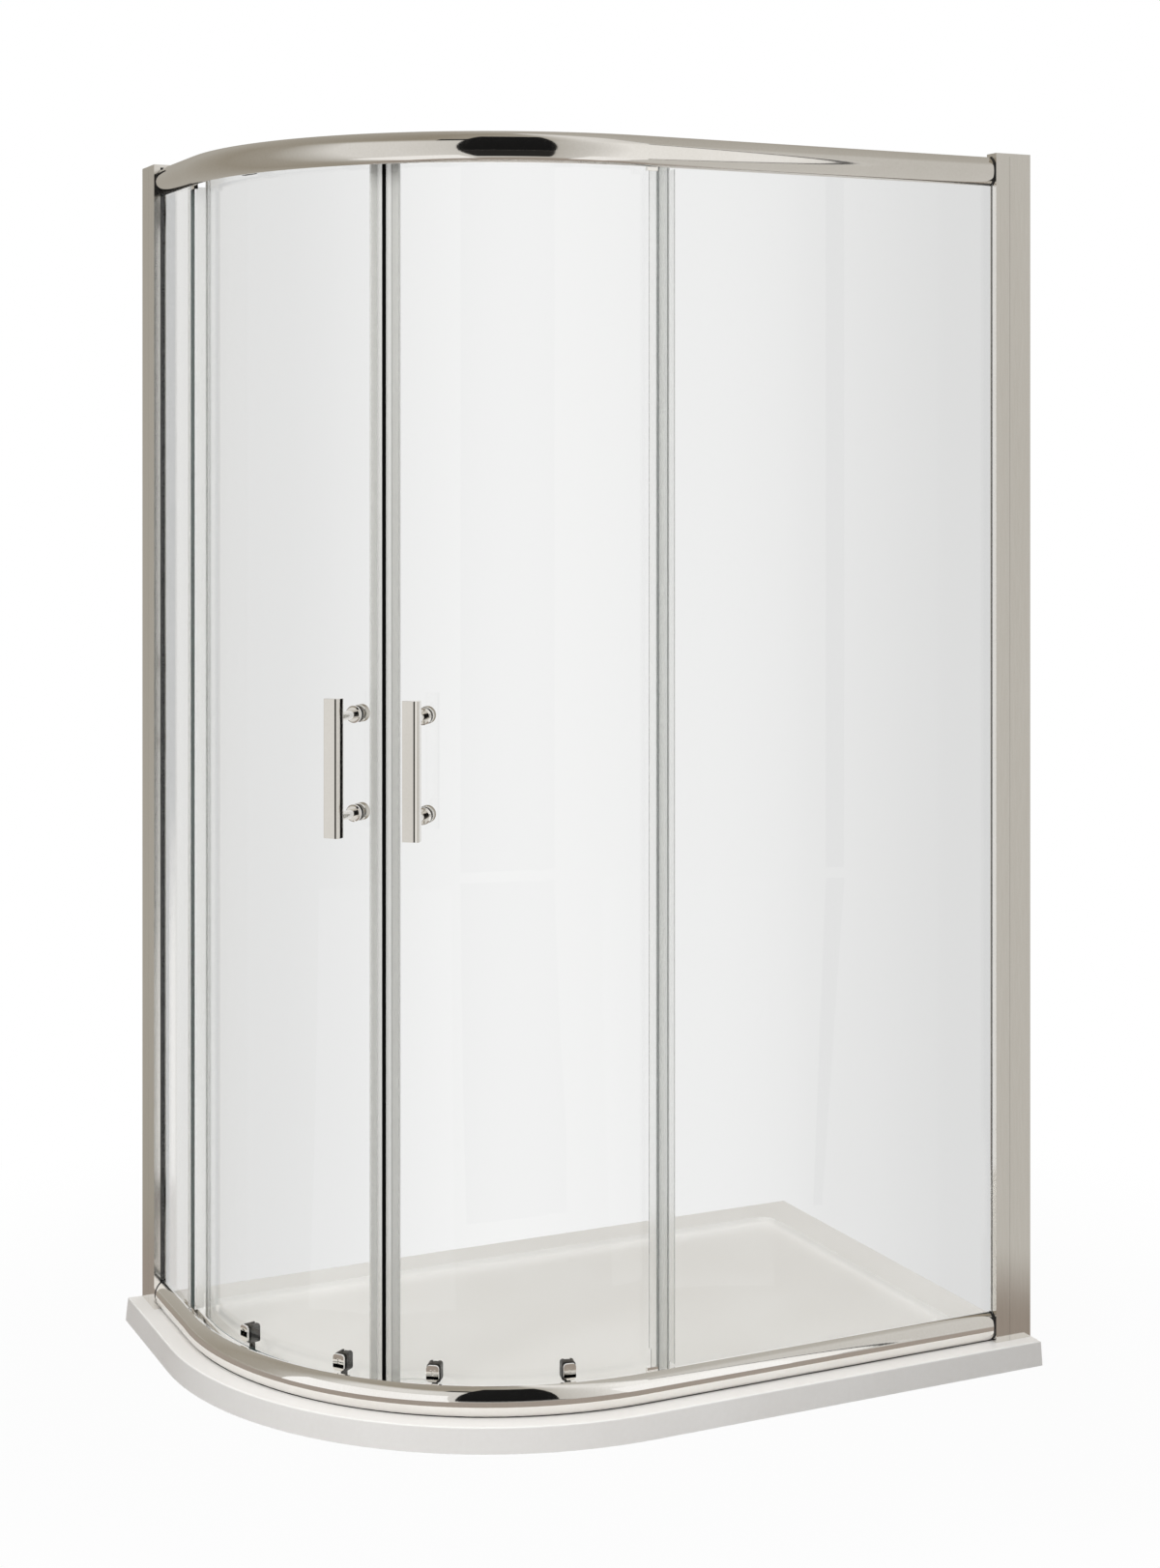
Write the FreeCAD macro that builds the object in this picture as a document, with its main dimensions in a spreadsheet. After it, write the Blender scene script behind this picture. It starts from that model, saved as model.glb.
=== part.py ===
"""Offset quadrant shower enclosure on its tray, as a parametric document.

Millimetres.  Origin: centre of the tray's footprint, on the floor.  +Z is up, the walls are
at +Y (behind) and +X (right), and the curved corner with its two sliding doors faces -X -Y.
An "inset" is a distance inwards from the edge of the tray, square to that edge, so one inset
names a line along the left side, round the curve and along the front.
"""
import FreeCAD
import Part
import math
import os
import re
import Sketcher

V = FreeCAD.Vector
TOUCH = 0.01          # lengths closer than this count as the same
doc = FreeCAD.newDocument("quadrant_enclosure")

# ------------------------------------------------------------------ driving dimensions
SIZES = (
    # tray
    ("tray_length", 1200), ("tray_width", 800), ("tray_radius", 550), ("tray_height", 36),
    ("tray_draft", 4), ("tray_edge_round", 2.5),
    ("ledge_at_wall", 66), ("ledge_at_rail", 88), ("basin_corner", 30),
    ("basin_depth", 10), ("basin_draft_angle", 25), ("basin_round", 9), ("basin_fall", 3),
    ("waste_bore", 90), ("waste_rebate", 112), ("waste_rebate_depth", 3),
    ("waste_inset", 152), ("fall_well", 150),
    # wall channels and frame profiles
    ("enclosure_height", 1800), ("wall_setback", 4), ("post_face", 26),
    ("channel_width", 32), ("channel_depth", 37), ("channel_wall", 1.5),
    ("left_reach", 34), ("right_reach", 25), ("lip_width", 10), ("inner_lip", 1.8),
    ("inner_lip_back", 5), ("pocket_depth", 22), ("tongue_depth", 30), ("slide_gap", 0.3),
    ("post_cap_height", 4.5),
    ("wall_screw_spacing", 750), ("wall_screw_hole", 5.5),
    ("clamp_screw_spacing", 700), ("clamp_screw_size", 4), ("clamp_head", 7.5),
    ("clamp_head_height", 2.4), ("cover_cap_size", 13), ("cover_cap_height", 4.5),
    # rails
    ("rail_inset", 40), ("rail_bulge", 12.5), ("rail_height", 43.5), ("rail_wall", 1.6),
    ("top_rail_drop", 5.5), ("rail_cap_thickness", 3), ("rail_cap_plug", 8),
    ("slot_wall_height", 36), ("slot_floor", 12), ("slot_roof", 31),
    ("guide_floor", 6), ("guide_back", 80), ("guide_lip", 4), ("guide_lip_width", 2),
    ("track_level", 23), ("track_thickness", 1.6), ("track_back", 65), ("roof_back", 82),
    ("rail_screw_size", 3.6), ("rail_screw_length", 14), ("rail_screw_head", 6),
    ("rail_screw_head_height", 2.4),
    # glass
    ("glass_thickness", 6), ("fixed_glass_inset", 43), ("glass_gap", 0.3),
    ("left_edge_past", 27), ("right_edge_past", 23), ("glass_entry", 20),
    ("door_glass_inset", 67), ("door_bottom_gap", 30), ("door_top_rise", 17),
    # seals
    ("seal_wall", 1.2), ("seal_gap", 0.15), ("fixed_seal_grip", 9), ("fin_tip_inset", 66),
    ("fin_notch_inset", 61.5), ("fin_notch_height", 24), ("fin_sweep", 3.6), ("fin_wall", 1.4),
    ("magnet_seal_width", 22), ("magnet_strip_width", 2.9), ("magnet_strip_depth", 9),
    ("seal_nose", 7.5), ("meeting_gap", 0.4), ("trailing_seal_width", 16),
    ("trailing_fin_reach", 15), ("gasket_gap", 0.1),
    # doors
    ("meeting_angle", 46.4), ("door_width", 418.9),
    ("lead_roller_setback", 72), ("trail_roller_setback", 265.5),
    ("left_handle_setback", 47), ("right_handle_setback", 58),
    ("left_travel", 17.5), ("right_travel", 20),
    # top rollers
    ("top_wheel_radius", 8), ("top_wheel_width", 6), ("top_wheel_inset", 54),
    ("wheel_groove", 0.8), ("wheel_chamfer", 0.6), ("track_clearance", 0.3), ("axle_diameter", 6),
    ("axle_clearance", 0.05), ("top_wheel_spread", 20), ("bracket_width", 32),
    ("bracket_leaf", 3), ("bracket_pad", 5.5), ("bracket_standoff", 0.5),
    ("bracket_foot", 5), ("bracket_shoulder", 20), ("bracket_top", 39),
    ("top_bolt_height", 11), ("top_bolt_size", 6), ("top_bolt_hole", 7),
    ("top_bolt_head", 14), ("top_bolt_head_height", 3),
    # bottom rollers
    ("bottom_wheel_radius", 8), ("bottom_wheel_width", 6), ("bottom_wheel_inset", 64.2),
    ("bottom_axle", 5), ("slider_width", 8), ("slider_stem", 5),
    ("slider_back_radius", 466), ("slider_top", 59), ("slider_foot_top", 24),
    ("slider_foot_bottom", 11), ("slider_thumb", 7), ("slider_thumb_height", 5),
    ("housing_width", 20), ("housing_bottom", 35), ("housing_height", 26),
    ("housing_depth", 15), ("housing_round", 4),
    ("roller_cap_width", 18), ("roller_cap_bottom", 38), ("roller_cap_height", 23),
    ("roller_cap_depth", 3.2), ("roller_cap_round", 5), ("key_slot", 3), ("key_slot_depth", 1.2),
    ("roller_stud", 7), ("roller_stud_hole", 8), ("roller_stud_height", 48),
    # handles
    ("handle_height", 904), ("handle_length", 195), ("handle_spacing", 140.4),
    ("handle_width", 24), ("handle_depth", 17), ("handle_standoff", 50),
    ("handle_front_round", 1.5), ("handle_back_round", 4), ("handle_bore", 5),
    ("handle_bore_depth", 8), ("stem_diameter", 13), ("collar_diameter", 24.5),
    ("collar_thickness", 5), ("washer_thickness", 1), ("handle_stud", 7.6),
    ("handle_hole", 10), ("knob_diameter", 25), ("knob_neck", 13), ("knob_neck_length", 6),
    ("knob_thickness", 14), ("knob_bore_depth", 12), ("knob_face", 14), ("knob_chamfer", 1.5),
    ("fit_gap", 0.05),
    # clips and stops
    ("clip_length", 17), ("clip_gap", 1.6), ("clip_rise", 5),
    ("stop_length", 12), ("stop_height", 15), ("stop_gap", 1),
)

# What the driving dimensions make of each other, as expressions.
DERIVED = {
    "half_length": "tray_length / 2",
    "half_width": "tray_width / 2",
    "arc_x": "tray_radius - tray_length / 2",
    "arc_y": "tray_radius - tray_width / 2",
    "post_height": "enclosure_height - post_cap_height",
    "top_rail_z": "tray_height + enclosure_height - top_rail_drop - rail_height",
    "bottom_rail_top": "tray_height + rail_height",
    "post_back": "post_face + channel_width",
    "frame_front_left": "channel_depth + left_reach",
    "frame_front_right": "channel_depth + right_reach",
    "left_frame_y": "half_width - wall_setback - frame_front_left",
    "right_frame_x": "half_length - wall_setback - frame_front_right",
    "slot_out": "fixed_glass_inset - glass_gap",
    "slot_in": "fixed_glass_inset + glass_thickness + glass_gap",
    "slot_back": "slot_in + rail_wall",
    "bulge_radius": "(rail_height ^ 2 / 4 + rail_bulge ^ 2) / (2 * rail_bulge)",
    "chamber_back": "slot_out - rail_wall",
    "chamber_half": "sqrt((bulge_radius - rail_wall) ^ 2"
                    " - (rail_inset - rail_bulge + bulge_radius - chamber_back) ^ 2)",
    "fixed_glass_z": "tray_height + slot_floor + glass_gap",
    "fixed_glass_top": "top_rail_z + slot_roof - glass_gap",
    "fixed_glass_back": "fixed_glass_inset + glass_thickness",
    "left_edge_y": "arc_y + left_edge_past",
    "right_edge_x": "arc_x + right_edge_past",
    "door_outer": "tray_radius - door_glass_inset",
    "door_inner": "door_outer - glass_thickness",
    "door_z": "tray_height + door_bottom_gap",
    "door_top": "top_rail_z + door_top_rise",
    "door_height": "door_top - door_z",
    "lead_cover": "meeting_gap / 2 + magnet_strip_width + seal_nose + seal_gap",
    "glass_width": "door_width - lead_cover - seal_wall - seal_gap",
    "top_wheel_out": "tray_radius - top_wheel_inset",
    "top_wheel_in": "top_wheel_out - top_wheel_width",
    "top_wheel_z": "top_rail_z + track_level + top_wheel_radius + track_clearance",
    "bracket_back": "door_inner - bracket_standoff - bracket_pad",
    "bottom_wheel_out": "tray_radius - bottom_wheel_inset",
    "bottom_wheel_in": "bottom_wheel_out - bottom_wheel_width",
    "bottom_wheel_z": "tray_height + guide_floor + bottom_wheel_radius + track_clearance",
    "slider_front": "slider_back_radius + slider_stem",
    "handle_z": "tray_height + handle_height",
    "bar_back": "door_outer + handle_standoff",
    "collar_back": "door_outer + washer_thickness",
    "washer_radius": "collar_diameter / 2 - 0.5",
    "washer_sag": "door_inner - sqrt(door_inner ^ 2 - washer_radius ^ 2)",
    "knob_seat": "door_inner - washer_sag - washer_thickness",
    "right_panel_width": "right_frame_x - right_edge_x + glass_entry",
    "left_panel_width": "left_frame_y - left_edge_y + glass_entry",
    "rail_screw_inset": "post_face + lip_width / 2",
}

NODES = []


# ------------------------------------------------------------------ document helpers
def make_sheet():
    """The spreadsheet that holds every driving dimension under its own name."""
    sheet = doc.addObject("Spreadsheet::Sheet", "Sizes")
    for row, (alias, number) in enumerate(SIZES, start=1):
        sheet.set("A%d" % row, alias)
        sheet.set("B%d" % row, str(number))
        sheet.setAlias("B%d" % row, alias)
    doc.recompute()
    return sheet


SHEET = make_sheet()
ALIASES = {alias for alias, _ in SIZES}


def expression(text):
    """A formula on the sheet's names, as the document's expression engine reads it."""
    def swap(match):
        word = match.group(0)
        if word in DERIVED:
            return "(" + expression(DERIVED[word]) + ")"
        return "Sizes." + word if word in ALIASES else word
    return re.sub(r"[A-Za-z_]\w*", swap, text)


def value(text):
    """The number that a formula comes to now."""
    return float(SHEET.evalExpression(expression(text)))


def bind(thing, name, text):
    thing.setExpression(name, expression(text))


def turned(run):
    """Degrees of the door's circle that an arc length of the outer glass face covers."""
    return "(%s) / door_outer * 180 / pi" % run


def body(name, x="0", y="0", z="0", angle="0"):
    """A body with its frame at x, y, z, turned by an angle about +Z."""
    made = doc.addObject("PartDesign::Body", name)
    made.Placement = FreeCAD.Placement(V(value(x), value(y), value(z)),
                                       FreeCAD.Rotation(V(0, 0, 1), value(angle)))
    for axis, text in (("x", x), ("y", y), ("z", z)):
        bind(made, "Placement.Base." + axis, text)
    if angle != "0":
        bind(made, "Placement.Rotation.Angle", angle)
    return made


def door_body(name, angle, z="0"):
    """A body whose +X points outwards from the curve's axis, at an angle round the curve."""
    return body(name, "arc_x", "arc_y", z, "180 + " + angle)


def node(label, *things):
    """Names a finished sub-part; several solids of one node are held in a compound."""
    if len(things) == 1:
        made = things[0]
    else:
        made = doc.addObject("Part::Compound", label + "_set")
        made.Links = list(things)
    made.Label = label
    NODES.append(made)
    return made


def plane_of(owner, role):
    return next(f for f in owner.Origin.OriginFeatures if f.Role == role)


def new_sketch(owner, name, plane="XY_Plane", lift=None, turn=None):
    """A sketch on one of the body's planes, lifted along its normal or turned about +Z."""
    sketch = owner.newObject("Sketcher::SketchObject", name)
    sketch.AttachmentSupport = (plane_of(owner, plane), [""])
    sketch.MapMode = "FlatFace"
    if turn is not None:
        sketch.AttachmentOffset = FreeCAD.Placement(V(), FreeCAD.Rotation(V(0, 1, 0), value(turn)))
        bind(sketch, "AttachmentOffset.Rotation.Angle", turn)
    if lift is not None:
        sketch.AttachmentOffset = FreeCAD.Placement(V(0, 0, value(lift)), FreeCAD.Rotation())
        bind(sketch, "AttachmentOffset.Base.z", lift)
    return sketch


def fix(sketch, kind, geometry, point, text):
    """A distance from the sketch's origin to a point, bound to the sheet."""
    number = sketch.addConstraint(
        Sketcher.Constraint(kind, -1, 1, geometry, point, value(text)))
    bind(sketch, "Constraints[%d]" % number, text)


def curve_between(start, end, radius):
    """The minor arc of a radius that runs anticlockwise from one point to another."""
    middle = (start + end) * 0.5
    half = (end - start).Length / 2
    outwards = V(end.y - start.y, start.x - end.x, 0).normalize()
    crown = middle + outwards * (radius - math.sqrt(max(radius ** 2 - half ** 2, 0)))
    return Part.Arc(start, crown, end)


def outline(sketch, corners, closed=True):
    """Lines and arcs through corners, every one bound to the sheet.

    A corner is (x, y), or (x, y, radius, side) where the stretch to the next corner is an
    arc, which bulges to the "left" or "right" of the way.
    """
    spots = [V(value(c[0]), value(c[1]), 0) for c in corners]
    count = len(corners) if closed else len(corners) - 1
    ends = []
    for index in range(count):
        start, end = spots[index], spots[(index + 1) % len(spots)]
        if len(corners[index]) == 2:
            number = sketch.addGeometry(Part.LineSegment(start, end), False)
            ends.append((number, 1, 2))
            continue
        radius, side = corners[index][2:]
        if side == "right":
            arc = curve_between(start, end, value(radius))
            ends.append((sketch.addGeometry(arc, False), 1, 2))
        else:
            arc = curve_between(end, start, value(radius))
            ends.append((sketch.addGeometry(arc, False), 2, 1))
        number = ends[-1][0]
        made = sketch.addConstraint(Sketcher.Constraint("Radius", number, value(radius)))
        bind(sketch, "Constraints[%d]" % made, radius)
    for index in range(count):
        number, first, last = ends[index]
        following = (index + 1) % count
        if closed or index + 1 < count:
            sketch.addConstraint(Sketcher.Constraint(
                "Coincident", number, last, ends[following][0], ends[following][1]))
        fix(sketch, "DistanceX", number, first, corners[index][0])
        fix(sketch, "DistanceY", number, first, corners[index][1])
    if not closed:
        number, _, last = ends[-1]
        fix(sketch, "DistanceX", number, last, corners[-1][0])
        fix(sketch, "DistanceY", number, last, corners[-1][1])
    return sketch


def circle(sketch, x, y, diameter):
    number = sketch.addGeometry(
        Part.Circle(V(value(x), value(y), 0), V(0, 0, 1), value(diameter) / 2), False)
    fix(sketch, "DistanceX", number, 3, x)
    fix(sketch, "DistanceY", number, 3, y)
    made = sketch.addConstraint(Sketcher.Constraint("Diameter", number, value(diameter)))
    bind(sketch, "Constraints[%d]" % made, diameter)
    return sketch


def rectangle(low_x, low_y, high_x, high_y):
    return [(low_x, low_y), (high_x, low_y), (high_x, high_y), (low_x, high_y)]


def pad(owner, sketch, length, back=False):
    made = owner.newObject("PartDesign::Pad", sketch.Name + "_pad")
    made.Profile = sketch
    made.Length = value(length)
    bind(made, "Length", length)
    made.Reversed = back
    return made


def pocket(owner, sketch, length, back=False, taper=None):
    """Cuts along the sketch's normal; back cuts the other way."""
    made = owner.newObject("PartDesign::Pocket", sketch.Name + "_pocket")
    made.Profile = sketch
    made.Length = value(length)
    bind(made, "Length", length)
    made.Reversed = not back
    if taper is not None:
        made.TaperAngle = value(taper)
        bind(made, "TaperAngle", taper)
    return made


def revolve(owner, sketch, axis="H_Axis", angle="360", back=False):
    made = owner.newObject("PartDesign::Revolution", sketch.Name + "_turned")
    made.Profile = sketch
    made.ReferenceAxis = (sketch, [axis])
    made.Angle = value(angle)
    if angle != "360":
        bind(made, "Angle", angle)
    made.Reversed = back
    return made


def turned_piece(name, corners, x="0", y="0", z="0", angle="0"):
    """A lathe-turned piece about its own +X: corners are (along, radius)."""
    made = body(name, x, y, z, angle)
    revolve(made, outline(new_sketch(made, name + "_section"), corners))
    return made


def ring_point(radius, run, bulge=None):
    """A corner on the door's circle: a radius and an arc length from the body's own +X."""
    corner = ("(%s) * cos(%s)" % (radius, turned(run)), "(%s) * sin(%s)" % (radius, turned(run)))
    return corner if bulge is None else corner + (radius, bulge)


# ------------------------------------------------------------------ tray
def tray_outline():
    return [("arc_x", "-half_width"), ("half_length", "-half_width"),
            ("half_length", "half_width"), ("-half_length", "half_width"),
            ("-half_length", "arc_y", "tray_radius", "right")]


def basin_outline():
    """The edge of the dished floor, with its three square corners rounded."""
    left = "ledge_at_rail - half_length"
    front = "ledge_at_rail - half_width"
    right = "half_length - ledge_at_wall"
    back = "half_width - ledge_at_wall"
    return [("arc_x", front),
            (right + " - basin_corner", front, "basin_corner", "right"),
            (right, front + " + basin_corner"),
            (right, back + " - basin_corner", "basin_corner", "right"),
            (right + " - basin_corner", back),
            (left + " + basin_corner", back, "basin_corner", "right"),
            (left, back + " - basin_corner"),
            (left, "arc_y", "tray_radius - ledge_at_rail", "right")]


def edges_where(feature, wanted):
    """Names of a feature's edges that pass a test on their bounding boxes."""
    return ["Edge%d" % number for number, edge in enumerate(feature.Shape.Edges, start=1)
            if wanted(edge.BoundBox)]


def soften(owner, name, base, edges, radius):
    made = owner.newObject("PartDesign::Fillet", name)
    made.Base = (base, edges)
    made.Radius = value(radius)
    bind(made, "Radius", radius)
    doc.recompute()
    return made


def draft_open_sides(tray, slab):
    """Leans the left side, the curve and the front in towards the top."""
    at_wall = (value("half_length"), value("half_width"))
    sides = []
    for number, face in enumerate(slab.Shape.Faces, start=1):
        box = face.BoundBox
        upright = box.ZLength > value("tray_height") - TOUCH
        if upright and box.XMin < at_wall[0] - TOUCH and box.YMin < at_wall[1] - TOUCH:
            sides.append("Face%d" % number)
    lean = tray.newObject("PartDesign::Draft", "tray_lean")
    lean.Base = (slab, sides)
    lean.NeutralPlane = (plane_of(tray, "XY_Plane"), [""])
    lean.Angle = value("atan(tray_draft / tray_height)")
    bind(lean, "Angle", "atan(tray_draft / tray_height)")
    doc.recompute()
    return lean


def make_tray():
    """Cast tray: drafted sides, a rim for the rail, a dished floor and a waste hole."""
    tray = body("tray")
    foot = outline(new_sketch(tray, "tray_foot"), tray_outline())
    slab = pad(tray, foot, "tray_height")
    doc.recompute()
    lean = draft_open_sides(tray, slab)
    height = value("tray_height")
    soften(tray, "tray_rim_round", lean, edges_where(
        lean, lambda box: box.ZLength < TOUCH and box.ZMin > height - TOUCH), "tray_edge_round")
    basin = outline(new_sketch(tray, "tray_basin", lift="tray_height"), basin_outline())
    hollow = pocket(tray, basin, "basin_depth", back=True, taper="-basin_draft_angle")
    doc.recompute()
    floor = value("tray_height - basin_depth")
    soften(tray, "basin_floor_round", hollow, edges_where(
        hollow, lambda box: abs(box.ZMin - floor) < TOUCH and box.ZLength < TOUCH),
        "basin_round")
    waste_x = "arc_x - (tray_radius - waste_inset) * cos(meeting_angle)"
    waste_y = "arc_y - (tray_radius - waste_inset) * sin(meeting_angle)"
    floor_level = "tray_height - basin_depth"
    well = new_sketch(tray, "tray_well", "XZ_Plane", lift="-(%s)" % waste_y)
    outline(well, [
        (waste_x, floor_level + " + 1"), (waste_x, floor_level + " - basin_fall"),
        (waste_x + " + waste_rebate / 2", floor_level + " - basin_fall"),
        (waste_x + " + fall_well / 2", floor_level),
        (waste_x + " + fall_well / 2", floor_level + " + 1")])
    line = new_sketch(tray, "tray_well_axis", "XZ_Plane", lift="-(%s)" % waste_y)
    outline(line, [(waste_x, "0"), (waste_x, "tray_height")], closed=False)
    dish = tray.newObject("PartDesign::Groove", "tray_dish")
    dish.Profile = well
    dish.ReferenceAxis = (line, ["Edge1"])
    dish.Angle = 360
    rebate = circle(new_sketch(tray, "waste_rebate_ring",
                               lift=floor_level + " - basin_fall - waste_rebate_depth"),
                    waste_x, waste_y, "waste_rebate")
    pocket(tray, rebate, "tray_height")
    bore = circle(new_sketch(tray, "waste_hole"), waste_x, waste_y, "waste_bore")
    pocket(tray, bore, "tray_height")
    return node("shower_tray", tray)


# ------------------------------------------------------------------ posts
def post_point(side, inset, depth):
    """A plan point on a post: its inset, and its depth out from the wall."""
    if side == "left":
        return ("%s - half_length" % inset, "half_width - wall_setback - (%s)" % depth)
    return ("half_length - wall_setback - (%s)" % depth, "%s - half_width" % inset)


def post_outline(side, corners):
    return [post_point(side, inset, depth) for inset, depth in corners]


def side_hole(owner, side, name, depth, heights, diameter, from_inset, length):
    """Holes that run along the inset direction through a post's inner leg."""
    plane = "YZ_Plane" if side == "left" else "XZ_Plane"
    along = "half_width - wall_setback - (%s)" % depth
    if side == "right":
        along = "half_length - wall_setback - (%s)" % depth
    start = "%s - %s" % (from_inset, "half_length" if side == "left" else "half_width")
    lift = start if side == "left" else "-(%s)" % start
    sketch = new_sketch(owner, name, plane, lift=lift)
    for height in heights:
        circle(sketch, along, height, diameter)
    return pocket(owner, sketch, length, back=(side == "right"))


def screw_heights(spacing):
    """Three heights, level with the middle of the post, and one spacing up and down."""
    middle = "post_height / 2"
    return ["%s - %s" % (middle, spacing), middle, "%s + %s" % (middle, spacing)]


def make_wall_channel(side):
    """U-channel that is screwed to the wall and stands on the tray."""
    channel = body(side + "_channel", z="tray_height")
    sketch = new_sketch(channel, side + "_channel_plan")
    outline(sketch, post_outline(side, [
        ("post_face", "0"), ("post_back", "0"), ("post_back", "channel_depth"),
        ("post_back - channel_wall", "channel_depth"),
        ("post_back - channel_wall", "channel_wall"),
        ("post_face + channel_wall", "channel_wall"),
        ("post_face + channel_wall", "channel_depth"), ("post_face", "channel_depth")]))
    pad(channel, sketch, "post_height")
    middle = "post_face + channel_width / 2"
    plane = "XZ_Plane" if side == "left" else "YZ_Plane"
    wall = "half_width - wall_setback" if side == "left" else "half_length - wall_setback"
    across = "%s - %s" % (middle, "half_length" if side == "left" else "half_width")
    lift = "-(%s)" % wall if side == "left" else wall
    holes = new_sketch(channel, side + "_wall_holes", plane, lift=lift)
    for height in screw_heights("wall_screw_spacing"):
        circle(holes, across, height, "wall_screw_hole")
    pocket(channel, holes, "channel_wall * 2", back=(side == "right"))
    side_hole(channel, side, side + "_clamp_holes", "channel_depth - tongue_depth / 2",
              screw_heights("clamp_screw_spacing"), "clamp_screw_size + 2 * fit_gap",
              "post_back - channel_wall * 2", "channel_wall * 3")
    return node(side + "_wall_channel", channel)


def make_frame_profile(side):
    """Frame profile: hollow front lip, glass pocket, and two legs inside the channel."""
    front = "frame_front_" + side
    leg_out = "post_face + channel_wall + slide_gap"
    leg_in = "post_back - channel_wall - slide_gap"
    step = "channel_depth + slide_gap"
    lip_in = "slot_in + inner_lip"
    pocket_floor = front + " - pocket_depth"
    frame = body(side + "_frame", z="tray_height")
    sketch = new_sketch(frame, side + "_frame_plan")
    leg_end = "channel_depth - tongue_depth"
    web = pocket_floor + " - channel_wall"
    outline(sketch, post_outline(side, [
        ("post_face", front), ("post_face + lip_width", front),
        ("post_face + lip_width", pocket_floor), ("slot_in", pocket_floor),
        ("slot_in", front + " - inner_lip_back"), (lip_in, front + " - inner_lip_back"),
        (lip_in, web), (leg_in, web), (leg_in, leg_end),
        (leg_in + " - channel_wall", leg_end),
        (leg_in + " - channel_wall", web + " - channel_wall"),
        (leg_out + " + channel_wall", web + " - channel_wall"),
        (leg_out + " + channel_wall", leg_end), (leg_out, leg_end), (leg_out, step),
        ("post_face", step)]))
    hollow = [("post_face + channel_wall", front + " - channel_wall"),
              ("post_face + lip_width - channel_wall", front + " - channel_wall"),
              ("post_face + lip_width - channel_wall", web), ("post_face + channel_wall", web)]
    outline(sketch, post_outline(side, hollow))
    pad(frame, sketch, "post_height")
    # Holes in the front wall for the screws that hold the rails.
    plane = "XZ_Plane" if side == "left" else "YZ_Plane"
    face = "half_width - wall_setback - (%s)" % front
    if side == "right":
        face = "half_length - wall_setback - (%s)" % front
    across = "rail_screw_inset - %s" % ("half_length" if side == "left" else "half_width")
    lift = "-(%s)" % face if side == "left" else face
    holes = new_sketch(frame, side + "_rail_holes", plane, lift=lift)
    for height in ("rail_height / 2", "top_rail_z - tray_height + rail_height / 2"):
        circle(holes, across, height, "rail_screw_size + 2 * fit_gap")
    pocket(frame, holes, "channel_wall * 2", back=(side == "left"))
    side_hole(frame, side, side + "_leg_holes", "channel_depth - tongue_depth / 2",
              screw_heights("clamp_screw_spacing"), "clamp_screw_size + 2 * fit_gap",
              "post_back - channel_wall * 4", "channel_wall * 3.5")
    return node(side + "_frame_profile", frame)




def make_post_caps():
    """Moulded caps that close the tops of the channel and the frame profile."""
    caps = []
    for side in ("left", "right"):
        cap = body(side + "_post_cap", z="tray_height + post_height")
        front = "frame_front_" + side
        web = front + " - pocket_depth - channel_wall"
        sketch = outline(new_sketch(cap, side + "_post_cap_plan"), post_outline(side, [
            ("post_face", "0"), ("post_back", "0"), ("post_back", web),
            ("slot_in + inner_lip", web), ("slot_in + inner_lip", front),
            ("post_face", front)]))
        pad(cap, sketch, "post_cap_height")
        caps.append(cap)
    return node("post_top_caps", *caps)


def make_clamp_screws_and_caps():
    """Screws that clamp the frame legs to the channels, and their snap-on covers."""
    screws, covers = [], []
    depth = "channel_depth - tongue_depth / 2"
    for side in ("left", "right"):
        x, y = post_point(side, "post_back", depth)
        angle = "0" if side == "left" else "90"
        for number, height in enumerate(screw_heights("clamp_screw_spacing"), start=1):
            tag = "%s_%d" % (side, number)
            z = "tray_height + " + height
            screws.append(turned_piece("clamp_screw_" + tag, [
                ("-channel_wall * 5", "0"), ("clamp_head_height", "0"),
                ("clamp_head_height", "clamp_head / 2 - 1"),
                ("clamp_head_height / 2", "clamp_head / 2"), ("0", "clamp_head / 2"),
                ("0", "clamp_screw_size / 2"),
                ("-channel_wall * 4", "clamp_screw_size / 2")], x, y, z, angle))
            covers.append(turned_piece("screw_cover_" + tag, [
                ("clamp_head_height + slide_gap", "0"), ("cover_cap_height", "0"),
                ("cover_cap_height - 1", "cover_cap_size / 2 - 2"),
                ("1", "cover_cap_size / 2"), ("0", "cover_cap_size / 2"),
                ("0", "clamp_head / 2 + slide_gap"),
                ("clamp_head_height + slide_gap", "clamp_head / 2 + slide_gap")],
                x, y, z, angle))
    node("frame_clamp_screws", *screws)
    node("screw_cover_caps", *covers)


# ------------------------------------------------------------------ rails
def rail_path(owner, name, lift="0"):
    """The rail's line: along the left side, round the curve and along the front."""
    path = new_sketch(owner, name, lift=lift)
    side_x = "rail_inset - half_length"
    front_y = "rail_inset - half_width"
    return outline(path, [
        (side_x, "left_frame_y - rail_cap_thickness"),
        (side_x, "arc_y", "tray_radius - rail_inset", "right"),
        ("arc_x", front_y),
        ("right_frame_x - rail_cap_thickness", front_y)], closed=False)


def rail_section(owner, name, corners, chambers):
    """The rail's section, square to the start of its line."""
    section = new_sketch(owner, name, "XZ_Plane", lift="rail_cap_thickness - left_frame_y")
    for loop in [corners] + chambers:
        outline(section, [("%s - half_length" % c[0],) + tuple(c[1:]) for c in loop])
    return section


def bulge_chamber():
    """The hollow behind the rail's round face."""
    return [("chamber_back", "rail_height / 2 + chamber_half",
             "bulge_radius - rail_wall", "right"),
            ("chamber_back", "rail_height / 2 - chamber_half")]


def sweep_rail(owner, section, path):
    rail = owner.newObject("PartDesign::AdditivePipe", owner.Name + "_sweep")
    rail.Profile = section
    rail.Spine = (path, ["Edge1", "Edge2", "Edge3"])
    rail.Mode = "Standard"
    return rail


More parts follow.
